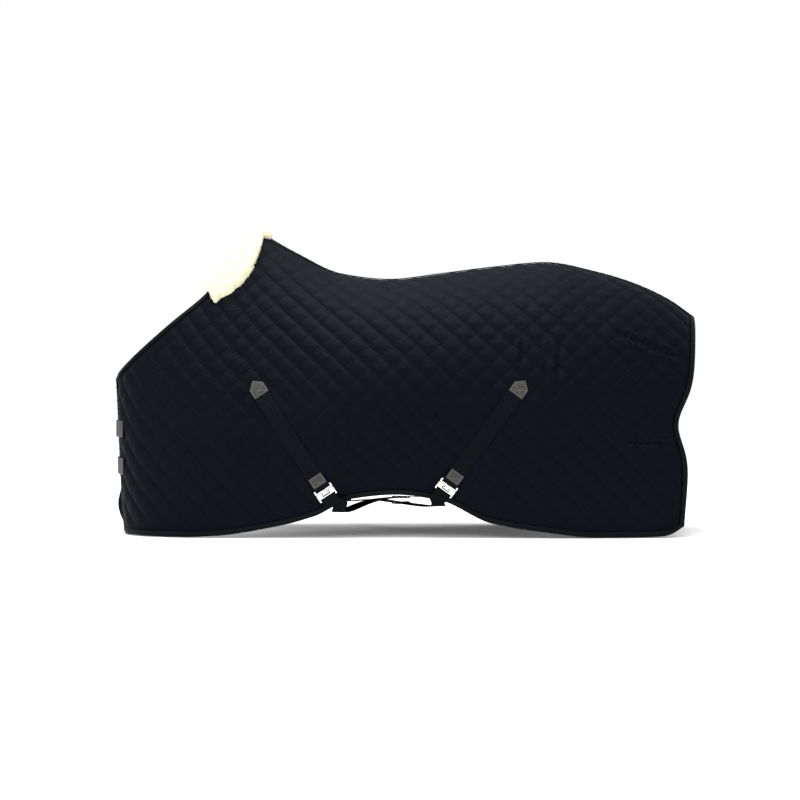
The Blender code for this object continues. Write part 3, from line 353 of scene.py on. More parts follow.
def outward(side, place, down):
    step = 0.004
    place, down = np.broadcast_arrays(np.asarray(place, float), np.maximum(np.asarray(down, float), 1e-6))
    along = innerFace(side, np.minimum(place + step, lastPlace), down) - innerFace(side, np.maximum(place - step, 0), down)
    after = innerFace(side, np.minimum(place + step, lastPlace), down) - innerFace(side, place, down)
    along = np.where((np.abs(place - wither) < step)[..., None], after, along)
    across = (innerFace(side, place, np.minimum(down + step, 1)) - innerFace(side, place, np.maximum(down - step, 1e-6)))
    normal = np.cross(along, across) * side
    normal[..., 1] = np.where((place >= wither) & (down <= 1e-5), 0, normal[..., 1])
    return unit(normal)


def addPiece(name, bm, material, body="root"):
    mesh = bpy.data.meshes.new(name)
    bm.to_mesh(mesh)
    bm.free()
    mesh.materials.append(material)
    piece = bpy.data.objects.new(name, mesh)
    scene.collection.objects.link(piece)
    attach(piece, body)
    return piece


def travel(points):
    # length from the first point to each one
    return np.concatenate([[0], np.cumsum(np.linalg.norm(np.diff(points, axis=0), axis=1))])


class ClothGrid:
    # even steps along and down one side, with the lengths that the cloth was cut by

    def __init__(self, side, columns, rows):
        self.side = side
        many = np.linspace(0, lastPlace, 900)
        track = innerFace(side, many, 0.55)
        run = travel(track)
        self.places = np.interp(np.linspace(0, run[-1], columns), run, many)
        self.places[np.argmin(abs(self.places - wither))] = wither
        fine = np.linspace(0, 1, 160)
        self.downs, self.drops = np.zeros((columns, rows)), np.zeros((columns, rows))
        for i, place in enumerate(self.places):
            line = innerFace(side, place, np.maximum(fine, 1e-6))
            fall = travel(line)
            even = np.linspace(0, fall[-1], rows)
            self.downs[i] = np.interp(even, fall, fine)
            level = np.interp(-0.40, -line[:, 2], fall)          # lengths are counted from 0.40 m up
            self.drops[i] = even - level
        wide = np.repeat(self.places[:, None], rows, 1)
        self.points = innerFace(side, wide, self.downs)
        self.normals = outward(side, wide, self.downs)
        self.easeWither()
        flat = np.linalg.norm(np.diff(self.points[..., :2], axis=0), axis=-1)
        runs = np.concatenate([np.zeros((1, rows)), np.cumsum(flat, axis=0)])
        middle = np.argmin(abs(self.points[:, rows // 2, 0]))
        self.runs = runs - runs[middle] + self.points[middle, :, 0]
        # distance of each point from each edge, over the cloth
        steps = np.linalg.norm(np.diff(self.points, axis=1), axis=-1)
        fall = np.concatenate([np.zeros((columns, 1)), np.cumsum(steps, axis=1)], 1)
        self.fromTop, self.fromHem = fall, fall[:, -1:] - fall
        steps = np.linalg.norm(np.diff(self.points, axis=0), axis=-1)
        along = np.concatenate([np.zeros((1, rows)), np.cumsum(steps, axis=0)])
        self.fromFront, self.fromTail = along, along[-1:] - along

    def easeWither(self):
        # below the corner of the neckline the cloth runs on without a crease
        corner = int(np.argmin(abs(self.places - wither)))
        reach = 22
        near = slice(corner - reach, corner + reach + 1)
        share = ease(np.arange(self.points.shape[1]) / 26.0)[None, :, None]
        share = share * ease((reach - abs(np.arange(-reach, reach + 1))) / 8.0)[:, None, None]
        for values in (self.points, self.normals):
            part = values[near].copy()
            for _ in range(90):
                middle = (part[:-2] + 2 * part[1:-1] + part[2:]) / 4
                part[1:-1] += (middle - part[1:-1]) * share[1:-1]
            values[near] = part
        self.normals = unit(self.normals)
        part = self.drops[near].copy()
        for _ in range(90):
            middle = (part[:-2] + 2 * part[1:-1] + part[2:]) / 4
            part[1:-1] += (middle - part[1:-1]) * share[1:-1, :, 0]
        self.drops[near] = part

    def at(self, height):
        return self.points + self.normals * height[..., None]


def gridPiece(name, points, lengths, material, outside=None):
    # a sheet of quads through an array of points, with the cut lengths as its UV map
    columns, rows = points.shape[:2]
    bm = bmesh.new()
    bmesh.ops.create_grid(bm, x_segments=columns - 1, y_segments=rows - 1, size=0.5)
    spot = {}
    for vert in bm.verts:
        spot[vert] = (round((vert.co.x + 0.5) * (columns - 1)), round((vert.co.y + 0.5) * (rows - 1)))
    layer = bm.loops.layers.uv.new("cloth")
    for face in bm.faces:
        for loop in face.loops:
            loop[layer].uv = lengths[spot[loop.vert]]
        face.smooth = True
    for vert, (i, j) in spot.items():
        vert.co = points[i, j]
    if outside is not None:
        bm.faces.ensure_lookup_table()
        if bm.faces[len(bm.faces) // 2].normal.dot(Vector(outside)) < 0:
            bmesh.ops.reverse_faces(bm, faces=bm.faces)
    return addPiece(name, bm, material)


# What lies on the cloth presses it in

def cadTree(nodes):
    trees = []
    for node in nodes:
        bm = bmesh.new()
        bm.from_mesh(frame["nodes"][node].data)
        trees.append((BVHTree.FromBMesh(bm), [Vector(corner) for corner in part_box(node)]))
        bm.free()
    return trees


probe = {"from": 0.008, "reach": 0.030, "pad": 0.035, "deepest": 0.020, "eases": 5, "keep": 0.96}


def pressedIn(points, normals, height, nodes, clear=0.0006):
    # the most that the cloth may stand up under each piece sewn or strapped over it
    limit = height.copy()
    for tree, (low, high) in cadTree(nodes):
        inside = np.all((points > np.array(low) - probe["pad"]) & (points < np.array(high) + probe["pad"]), axis=-1)
        for i, j in zip(*np.nonzero(inside)):
            point, normal = Vector(points[i, j]), Vector(normals[i, j])
            hit = tree.ray_cast(point - normal * probe["from"], normal, probe["reach"])
            if hit[0] is not None:
                limit[i, j] = min(limit[i, j], hit[3] - probe["from"] - clear)
    dip = np.clip(height - limit, 0, probe["deepest"])
    wide = dip.copy()
    for _ in range(probe["eases"]):                   # the cloth eases down to it round about
        padded = np.pad(wide, 1, mode="edge")
        near4 = (padded[:-2, 1:-1] + padded[2:, 1:-1] + padded[1:-1, :-2] + padded[1:-1, 2:]) / 4
        wide = np.maximum(dip, near4 * probe["keep"])
    return height - wide


def roughly(points, scale, seed):
    # smooth unevenness, -1 to 1
    shape = points.shape[:2]
    found = np.zeros(shape)
    shift = Vector((seed * 3.1, seed * 1.7, seed * 0.9))
    for i in range(shape[0]):
        for j in range(shape[1]):
            found[i, j] = noise.noise(Vector(points[i, j]) * scale + shift)
    return found


quiltShape = {
    "columns": 366, "rows": 206, "pitch": 0.050, "depthMain": 0.0064, "depthCross": 0.0032, "roundness": 0.62,
    "rest": 0.0006, "wave": 0.0016, "edgeDip": 0.0026,
    # forward-back and up of both ends, width, depth
    "darts": [((0.631, 0.608), (0.816, 0.535), 0.0075, 0.0052), ((0.650, 0.285), (0.790, 0.281), 0.0070, 0.0056)],
    "creases": [((0.352, 0.612), (0.346, 0.500), 0.0075, 0.0052), ((0.462, 0.600), (0.452, 0.455), 0.0080, 0.0056),
                ((0.420, 0.540), (0.414, 0.470), 0.0060, 0.0030), ((0.120, 0.545), (0.128, 0.470), 0.008, 0.0018),
                ((-0.560, 0.560), (-0.420, 0.520), 0.010, 0.0020)],
}


def alongLine(points, line):
    # share along a line seen from the side, and the distance from it
    (x0, z0), (x1, z1) = line
    dx, dz = x1 - x0, z1 - z0
    length = (dx * dx + dz * dz) ** 0.5
    share = ((points[..., 0] - x0) * dx + (points[..., 2] - z0) * dz) / length ** 2
    away = ((points[..., 0] - x0) * dz - (points[..., 2] - z0) * dx) / length
    return share, away, length


def quiltHeight(grid, top, sign):
    # height of the quilted cloth above the lining's inner face; sign -1 makes the lining's side
    s, t = grid.runs, grid.drops
    pitch = quiltShape["pitch"]
    main, cross = (s - t) * 0.70711, (s + t) * 0.70711
    # seams wander a little, as sewn
    drift = 0.0020 * np.sin(s * 9.0 + 1.3) * np.cos(t * 7.0)
    main, cross = main + drift, cross - drift
    crown = quiltShape["roundness"]
    lowMain = 1 - np.abs(np.sin(pi * main / pitch)) ** crown
    lowCross = 1 - np.abs(np.sin(pi * cross / pitch)) ** crown
    sunk = np.sqrt((quiltShape["depthMain"] * lowMain) ** 2 + (quiltShape["depthCross"] * lowCross) ** 2)
    # gathers run across the seams, strongest beside them
    gather = 0.0007 * np.sin(cross * 2 * pi / 0.0125 + 2.2 * np.sin(main * 60)) * np.clip(lowMain * 2.2, 0, 1)
    gather += 0.0005 * np.sin(main * 2 * pi / 0.0140 + 2.0 * np.sin(cross * 55)) * np.clip(lowCross * 2.2, 0, 1)
    wave = quiltShape["wave"] * roughly(grid.points, 9.0, 2 + grid.side) + 0.0008 * roughly(grid.points, 34.0, 5 + grid.side)
    if sign < 0:
        return top + 0.55 * sunk + 0.4 * gather
    height = top - sunk + gather + wave
    for first, last, width, depth in quiltShape["darts"]:
        share, away, length = alongLine(grid.points, (first, last))
        body = ease(share * 5 + 0.2) * ease((1.04 - share) * 12)
        pucker = 0.0016 * np.sin(share * length * 2 * pi / 0.019) * hump(away, 0, width * 3.0)
        rolls = hump(away, width * 2.2, width) + hump(away, -width * 2.2, width)
        height += body * (pucker - depth * hump(away, 0, width * 0.8)) + body * 0.0022 * rolls
    for first, last, width, depth in quiltShape["creases"]:
        share, away, length = alongLine(grid.points, (first, last))
        body = ease(share * 3) * ease((1 - share) * 3)
        height += body * (-depth * hump(away, 0, width) + 0.6 * depth * hump(away, width * 1.9, width))
    return height


def edgeDistance(grid):
    # from the nearest bound edge, over the cloth
    neck = np.where(grid.places[:, None] <= wither, grid.fromTop, 1.0)
    return np.minimum(np.minimum(neck, grid.fromHem), np.minimum(grid.fromFront, grid.fromTail))


sideCovers = {
    near: ["near_front_patch", "near_rear_patch", "near_front_strap", "near_rear_strap", "near_front_tab", "near_rear_tab",
           "front_hook", "rear_hook", "front_eye_plate", "rear_eye_plate", "front_belly_strap", "rear_belly_strap",
           "near_upper_chest_patch", "near_lower_chest_patch", "upper_chest_strap", "lower_chest_strap"],
    off: ["off_front_patch", "off_rear_patch", "front_belly_strap", "rear_belly_strap", "off_upper_chest_patch",
          "off_lower_chest_patch", "upper_chest_strap", "lower_chest_strap", "upper_chape", "lower_chape",
          "upper_keeper", "lower_keeper", "upper_buckle_frame", "lower_buckle_frame"],
}
hookPieces = ["front_hook", "front_eye_plate", "rear_hook", "rear_eye_plate"]
hookRoom = 0.0042                                  # for the hooks to swing in
grids, outerSheets = {}, {}
for side in (near, off):
    grid = grids[side] = ClothGrid(side, quiltShape["columns"], quiltShape["rows"])
    height = quiltHeight(grid, shellTop + quiltShape["rest"], 1)
    edge = edgeDistance(grid)
    bound = ease((edge - 0.010) / 0.030)
    seam = np.where(grid.places[:, None] > wither, 1 - ease((grid.fromTop - 0.012) / 0.025), 0)
    height = height * bound + (shellTop - quiltShape["edgeDip"]) * (1 - bound)
    height = height * (1 - seam) + (shellTop - 0.0012) * seam
    height = pressedIn(grid.points, grid.normals, height, sideCovers[side])
    if side == near:
        height = pressedIn(grid.points, grid.normals, height, hookPieces, clear=hookRoom)
    lengths = np.stack([grid.runs, grid.drops], -1)
    name = sideName[side] + "Quilt"
    sheet = gridPiece(name, grid.at(height), lengths, finish["quilt"], outside=(0, side, 0.1))
    outerSheets[side] = sheet
    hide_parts(f"{sideName[side]}_outer_shell", f"{sideName[side]}_wadding")
    # the lining is quilted through with the outer cloth, on a coarser grid
    lining = quiltHeight(grid, 0.0, -1) * bound + 0.0012 * (1 - bound)
    lining = np.minimum(lining, height - 0.0015)
    keep = [sorted(set(range(0, n, 2)) | {n - 1}) for n in height.shape]
    pick = np.ix_(*keep)
    back = gridPiece(sideName[side] + "Lining", grid.at(lining)[pick], lengths[pick], finish["lining"],
                     outside=(0, -side, -0.1))
    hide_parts(f"{sideName[side]}_lining")
    print(sheet.name, "quilted")


# Bound edges

def inFrom(points, away, into):
    # on each line of points, the one that lies this far from the edge
    return np.array([[np.interp(into, far, line[:, k]) for k in range(3)] for line, far in zip(points, away)])


def boundEdge(grid, edge):
    # base points, outward normals and inward directions along one edge
    points, normals = grid.points, grid.normals
    if edge == "hem":
        points, normals, away = points[:, ::-1], normals[:, ::-1], grid.fromHem[:, ::-1]
    elif edge == "neck":
        chosen = grid.places <= neckEnd
        points, normals, away = points[chosen], normals[chosen], grid.fromTop[chosen]
    elif edge == "front":
        points, normals, away = [values.swapaxes(0, 1) for values in (points, normals, grid.fromFront)]
    else:
        points, normals, away = [values[::-1].swapaxes(0, 1) for values in (points, normals, grid.fromTail)]
    base = points[:, 0]
    return base, normals[:, 0], unit(inFrom(points, away, bindingWidth) - base)


binding = {"plump": 0.0007, "lip": 0.0026, "thick": 0.0009, "stitchIn": 0.0130, "stitch": 0.0042}


def tapeSection(low, high):
    # (in from the edge, height) round the edge, from the outer face to the inner one
    middle, half = (low + high) / 2, (high - low) / 2
    section = [(bindingWidth + 0.0004, high - 0.0012), (bindingWidth, high - 0.0003), (0.0148, high + 0.0001),
               (0.0136, high - 0.0005), (0.0128, high - 0.0005), (0.0110, high + 0.0003),
               (0.0080, high + binding["plump"]), (0.0045, high + binding["plump"] * 0.8)]
    for step in range(9):
        angle = pi / 2 - pi * step / 8
        section.append((0.0016 - (0.0016 + binding["lip"]) * cos(angle), middle + half * sin(angle)))
    section += [(0.0045, low - 0.0003), (0.0090, low - 0.0003), (0.0130, low), (bindingWidth, low + 0.0003)]
    return section


def bindEdge(grid, edge, grow=0.0):
    base, normal, inward = boundEdge(grid, edge)
    run = travel(base)
    top = shellTop + 0.0014 + grow
    section = tapeSection(-0.0019 - grow, top)
    ripple = 0.00035 * np.sin(run * 2 * pi / 0.021) + 0.00035 * np.sin(run * 2 * pi / 0.0135 + 1.0)
    points, lengths = np.zeros((len(base), len(section), 3)), np.zeros((len(base), len(section), 2))
    across = travel(np.array(section))
    for j, (into, high) in enumerate(section):
        waver = ripple * 1.2 if j == 0 else ripple * 0
        rise = high + ripple * (0.7 if j < 9 else 0.3)
        points[:, j] = base + inward * (into + waver[:, None]) + normal * rise[:, None]
        lengths[:, j, 0], lengths[:, j, 1] = run, across[j]
    if edge == "hem":
        points[..., 2] = np.maximum(points[..., 2], 0.0003)
    side, middle = sideName[grid.side], len(base) // 2
    piece = gridPiece(f"{side}{edge.capitalize()}Binding", points, lengths, finish["tape"])
    bm = bmesh.new()
    bm.from_mesh(piece.data)
    centre = Vector(base[middle]) + Vector(normal[middle]) * 0.0056 + Vector(inward[middle]) * 0.006
    face = min(bm.faces, key=lambda item: (item.calc_center_median() - Vector(points[middle, 12])).length)
    if face.normal.dot(face.calc_center_median() - centre) < 0:
        bmesh.ops.reverse_faces(bm, faces=bm.faces)
    bm.to_mesh(piece.data)
    bm.free()
    thick = piece.modifiers.new("tape", "SOLIDIFY")
    thick.thickness, thick.offset = binding["thick"], -1.0
    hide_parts(f"{side}_{edge}_binding")
    seat = base + inward * binding["stitchIn"] + normal * (top - 0.0002 + ripple * 0.7)[:, None]
    return piece, ([Vector(point) for point in seat], [Vector(way) for way in normal])


def gathered(makeOne, places):
    # many small shapes in one mesh, made in batches because an operator slows down as its mesh grows
    whole = bmesh.new()
    for start in range(0, len(places), 50):
        batch, mesh = bmesh.new(), bpy.data.meshes.new("batch")
        for place in places[start:start + 50]:
            makeOne(batch, place)
        batch.to_mesh(mesh)
        batch.free()
        whole.from_mesh(mesh)
        bpy.data.meshes.remove(mesh)
    for face in whole.faces:
        face.smooth = True
    return whole


def sewRun(places, line, normals, pitch, length, radius):
    # small thread stitches laid end to end along a line
    travelled, due = 0.0, pitch / 2
    for a, b, na, nb in zip(line, line[1:], normals, normals[1:]):
        step = (b - a).length
        while step > 0 and travelled + step >= due:
            share = (due - travelled) / step
            place, normal, along = a.lerp(b, share), na.lerp(nb, share).normalized(), (b - a).normalized()
            side = normal.cross(along)
            turn = Matrix((along, side, normal)).transposed().to_4x4()
            size = Matrix.Diagonal((length / 2, radius, radius * 0.8, 1))
            places.append(Matrix.Translation(place) @ turn @ size)
            due += pitch
        travelled += step


def stitchPiece(name, runs, thread, pitch=0.0042, length=0.0033, radius=0.00042, body="root"):
    places = []
    for line, normals in runs:
        sewRun(places, line, normals, pitch, length, radius)
    bm = gathered(
        lambda batch, place: bmesh.ops.create_icosphere(batch, subdivisions=1, radius=1.0, matrix=place), places)
    return addPiece(name, bm, finish[thread], body)


sheetTrim = {near: [], off: []}
for side in (near, off):
    grid, runs = grids[side], []
    for edge, grow in (("hem", 0.0), ("neck", 0.0), ("front", 0.0004), ("tail", 0.0004)):
        piece, run = bindEdge(grid, edge, grow=grow)
        sheetTrim[side].append(piece)
        runs.append(run)
    name = sideName[side] + "BindingStitches"
    sheetTrim[side].append(stitchPiece(name, runs, "navyThread", binding["stitch"]))
print("edges bound")


# Tape over the back seam

backTape = {"half": 0.0158, "thick": 0.0011, "start": 0.020}


def makeBackTape():
    sides = {}
    for side in (near, off):
        grid = grids[side]
        chosen = grid.places >= wither
        points, normals, away = grid.points[chosen], grid.normals[chosen], grid.fromTop[chosen]
        spread = []
        for into in (0.0, 0.004, 0.008, 0.0118, 0.0132, backTape["half"]):
            raised = shellTop + 0.0007 + backTape["thick"]
            raised += 0.0005 if into < 0.009 else -0.0003 if into < 0.0125 else 0.0002
            spread.append(inFrom(points, away, into) + normals[:, 0] * raised)
        sides[side] = spread
    rows = sides[near][::-1] + sides[off][1:]
    points = np.stack(rows, 1)
    points = points[np.argmax(points[:, 5, 0] > points[0, 5, 0] + backTape["start"]):]
    run = travel(points[:, 5])
    ripple = 0.0003 * np.sin(run * 2 * pi / 0.024)
    points[..., 2] += ripple[:, None]
    lengths = np.zeros(points.shape[:2] + (2,))
    lengths[..., 0] = run[:, None]
    lengths[..., 1] = np.linspace(-backTape["half"], backTape["half"], points.shape[1])[None]
    tape = gridPiece("backTape", points, lengths, finish["tape"], outside=(0, 0, 1))
    thick = tape.modifiers.new("tape", "SOLIDIFY")
    thick.thickness, thick.offset = backTape["thick"], -1.0
    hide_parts("back_seam_tape")
    up = [Vector((0, 0, 1))] * len(points)
    runs = [([Vector(p) for p in points[:, j]], up) for j in (2, 8)]
    stitchPiece("backTapeStitches", runs, "navyThread", binding["stitch"])


makeBackTape()


# Fleece over the withers and down both sides of the neckline

fleece = {
    "foot": 4.09, "lean": 0.24, "back": 0.026, "depth": [0.165, 0.215, 0.225, 0.200, 0.125, 0.0],
    "outer": 0.0150, "inner": 0.0110, "rim": 0.0165, "toe": 0.013, "rings": 96, "round": 132, "rimSteps": 24,
    "clump": 0.0030, "tufts": 11000, "tuftLength": 0.0058, "tuftWidth": 0.0009,
}


def fleeceRing(side, share):
    # (height, share down) round one section: out over the rim, in under it, and back along the cloth
    at = share * (len(fleece["depth"]) - 1)
    first = min(int(at), len(fleece["depth"]) - 2)
    begin, end = fleece["depth"][first:first + 2]
    depth = begin + (end - begin) * (at - first)
    place = fleece["foot"] + (wither - fleece["foot"]) * share
    span = (stations[wither + 1, 0, 0] - stations[wither, 0, 0])
    reach = place + fleece["lean"] * (1 - share) + fleece["back"] / span * share
    count = fleece["round"]
    half, turnHalf = count // 2, fleece["rimSteps"] // 2
    shares = [np.linspace(1, 0, half - turnHalf), np.zeros(2 * turnHalf), np.linspace(0, 1, count - half - turnHalf)]
    shares = np.concatenate(shares)
    outer, inner = shellTop + 0.0030 + fleece["outer"], -0.0030 - fleece["inner"]
    # plump legs that thin out to the stitched lower edge
    full = 1 - (np.clip((shares - 0.60) / 0.40, 0, 1)) ** 3.0
    outside = shellTop + 0.001 + (outer - shellTop - 0.001) * full
    high = np.where(np.arange(count) < half, outside, -0.0006 + (inner + 0.0006) * full)
    turn = np.zeros(count)
    rim = slice(half - turnHalf, half + turnHalf)
    angle = np.linspace(pi / 2, -pi / 2, 2 * turnHalf)
    middle, radius = (outer + inner) / 2, (outer - inner) / 2
    high[rim] = middle + radius * np.sin(angle)
    turn[rim] = np.cos(angle)
    places = place + (reach - place) * shares
    downs = depth * shares
    base = innerFace(side, places, np.maximum(downs, 1e-6) if share < 1 else downs)
    normal = outward(side, places, downs)
    points = base + normal * high[:, None]
    lower = innerFace(side, np.array([place + (reach - place) * 0.1]), np.array([max(depth * 0.1, 1e-6)]))[0]
    rimWay = unit(innerFace(side, np.array([place]), np.array([0.0 if share == 1 else 1e-6]))[0] - lower)
    points += rimWay * (turn * fleece["rim"])[:, None]
    if share == 1:
        points[:, 1] = 0
    return points


def makeFleece():
    rings = [fleeceRing(near, share) for share in np.linspace(0, 1, fleece["rings"])]
    rings += [fleeceRing(off, share) for share in np.linspace(1, 0, fleece["rings"])[1:]]
    # the two feet close to a soft round end
    closed = []
    for ring, order in ((rings[0], -1), (rings[-1], 1)):
        ahead = ring - (rings[1] if order < 0 else rings[-2])
        step = unit(ahead.mean(0))
        centre = ring.mean(0)
        spread = []
        for turn in (0.35, 0.7, 1.05, 1.35, 1.56):
            ahead = step * fleece["toe"] * sin(turn)
            spread.append(ring + ahead + (centre - ring) * (1 - cos(turn)) * 0.22)
        closed.append(spread)
    points = np.stack(closed[0][::-1] + rings + closed[1])
    columns, count = points.shape[:2]
    bm = bmesh.new()
    bmesh.ops.create_grid(bm, x_segments=columns - 1, y_segments=count, size=0.5)
    seen = {}
    layer = bm.loops.layers.uv.new("cloth")
    for vert in bm.verts:
        seen[vert] = (round((vert.co.x + 0.5) * (columns - 1)), round((vert.co.y + 0.5) * count))
    for face in bm.faces:
        face.smooth = True
        for loop in face.loops:
            i, j = seen[loop.vert]
            loop[layer].uv = (i * 0.0035, j * 0.0035)
    for vert, (i, j) in seen.items():
        vert.co = points[i, j % count]
    bmesh.ops.remove_doubles(bm, verts=bm.verts, dist=1e-6)
    bmesh.ops.holes_fill(bm, edges=[edge for edge in bm.edges if edge.is_boundary])
    bmesh.ops.recalc_face_normals(bm, faces=bm.faces)
    if bm.calc_volume(signed=True) < 0:
        bmesh.ops.reverse_faces(bm, faces=bm.faces)
    bm.normal_update()
    # pile clumps
    moves = []
    for vert in bm.verts:
        spot = vert.co
        clump = noise.noise(spot * 95.0) + 0.6 * noise.noise(spot * 210.0 + Vector((3, 1, 2)))
        soft = noise.noise(spot * 24.0 + Vector((8, 2, 5)))
        moves.append(vert.normal * (fleece["clump"] * clump * 0.6 + 0.0022 * soft))
    for vert, move in zip(bm.verts, moves):
        vert.co += move
    bm.normal_update()
    piece = addPiece("witherFleece", bm.copy(), finish["fleece"])
    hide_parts("wither_fleece")
    # tufts of pile, leaning a little downhill
    faces = [face for face in bm.faces if len(face.verts) < 5]
    areas = np.cumsum([face.calc_area() for face in faces])
    source, places = random.Random(11), []
    for _ in range(fleece["tufts"]):
        face = faces[min(int(np.searchsorted(areas, source.random() * areas[-1])), len(faces) - 1)]
        weight = source.random()
        spot = face.verts[0].co.lerp(face.verts[2].co, weight).lerp(face.verts[1].co, source.random() * 0.5)
        lean = Vector((source.uniform(-1, 1), source.uniform(-1, 1), source.uniform(-1.1, 0.5))) * 0.55
        way = (face.normal + lean).normalized()
        long = fleece["tuftLength"] * source.uniform(0.55, 1.1)
        turn = way.to_track_quat("Z", "X").to_matrix().to_4x4()
        wide = fleece["tuftWidth"] * source.uniform(0.8, 1.3)
        places.append((wide, long, Matrix.Translation(spot + way * long * 0.32) @ turn))
    bm.free()
    tufts = gathered(
        lambda batch, place: bmesh.ops.create_cone(
            batch, cap_ends=False, segments=3, radius1=place[0], radius2=0.00015, depth=place[1], matrix=place[2]),
        places)
    addPiece("fleeceTufts", tufts, finish["tufts"])


makeFleece()
print("fleece laid")


# Webbing, patches and metal fittings start from the frame's own solids

def bodyOf(node):
    for body, members in frame["record"]["behaviour"]["bodies"].items():
        if node in members:
            return body


def weldedCopy(node, join=True):
    bm = bmesh.new()
    bm.from_mesh(frame["nodes"][node].data)
    for layer in list(bm.loops.layers.uv):
        bm.loops.layers.uv.remove(layer)
    bmesh.ops.remove_doubles(bm, verts=bm.verts, dist=1e-5)
    bmesh.ops.recalc_face_normals(bm, faces=bm.faces)
    if join:
        bmesh.ops.join_triangles(bm, faces=bm.faces, angle_face_threshold=radians(9), angle_shape_threshold=radians(180))
    bm.normal_update()
    return bm


def finishPiece(name, bm, material, node):
    for face in bm.faces:
        face.smooth = True
    piece = addPiece(name, bm, material, bodyOf(node))
    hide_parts(node)
    return piece


def camel(node):
    words = node.split("_")
    return words[0] + "".join(word.capitalize() for word in words[1:])


def stripLengths(bm, half):
    # lengths along and across a long strap: its faces part at the sharp edges into two broad
    # ones, two long narrow ones and the two ends
    left, regions = set(bm.faces), []
    while left:
        seed = left.pop()
        region, queue = {seed}, [seed]
        while queue:
            for edge in queue.pop().edges:
                if edge.calc_face_angle(0) < radians(50):
                    for other in edge.link_faces:
                        if other in left:
                            left.discard(other)
                            region.add(other)
                            queue.append(other)
        regions.append(region)
    regions.sort(key=lambda region: -sum(face.calc_area() for face in region))
    across = {}
    for region, value in ((regions[2], half), (regions[3], -half)):
        for face in region:
            for vert in face.verts:
                across[vert] = value
    begin = {vert for face in regions[4] for vert in face.verts}
    along = {vert: 0.0 for vert in begin}
    queue = [(0.0, vert.index) for vert in begin]
    bm.verts.ensure_lookup_table()
    heapq.heapify(queue)
    while queue:
        far, index = heapq.heappop(queue)
        vert = bm.verts[index]
        if far > along[vert] + 1e-12:
            continue
        for edge in vert.link_edges:
            other = edge.other_vert(vert)
            total = far + edge.calc_length()
            if total < along.get(other, 1e9):
                along[other] = total
                heapq.heappush(queue, (total, other.index))
    return along, across


def roundOff(bm, limit, offset, segments):
    # softens every edge sharper than the limit
    sharp = [edge for edge in bm.edges if edge.calc_face_angle(0) > radians(limit)]
    bmesh.ops.bevel(bm, geom=sharp, offset=offset, offset_type="OFFSET", segments=segments, profile=0.5,
                    affect="EDGES", material=-1, clamp_overlap=True)


def splitEdges(piece, name, limit):
    split = piece.modifiers.new(name, "EDGE_SPLIT")
    split.split_angle = radians(limit)


webbing = {"half": 0.024, "bevel": 0.00055}


def makeStrap(node, long=True):
    bm = weldedCopy(node)
    bm.verts.index_update()
    layer = bm.loops.layers.uv.new("cloth")
    if long:
        along, across = stripLengths(bm, webbing["half"])
        for face in bm.faces:
            for loop in face.loops:
                loop[layer].uv = (along.get(loop.vert, 0.0), across.get(loop.vert, 0.0))
    else:
        low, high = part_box(node)
        middle = (low[2] + high[2]) / 2
        for face in bm.faces:
            for loop in face.loops:
                spot = loop.vert.co
                loop[layer].uv = (spot.y, spot.z - middle)
    roundOff(bm, 50, webbing["bevel"], 2)
    piece = finishPiece(camel(node), bm, finish["web"], node)
    if long:
        smooth = piece.modifiers.new("smooth", "SUBSURF")
        smooth.levels = smooth.render_levels = 2
    else:
        splitEdges(piece, "smooth", 40)


for node in ("near_front_strap", "near_rear_strap", "front_belly_strap", "rear_belly_strap"):
    makeStrap(node)
for node in ("upper_chest_strap", "lower_chest_strap", "upper_chape", "lower_chape", "upper_keeper", "lower_keeper"):
    makeStrap(node, long=False)
print("webbing made")


patches = {"bevel": 0.0006, "inset": 0.0034, "stitch": 0.0036, "length": 0.0028, "radius": 0.00042}


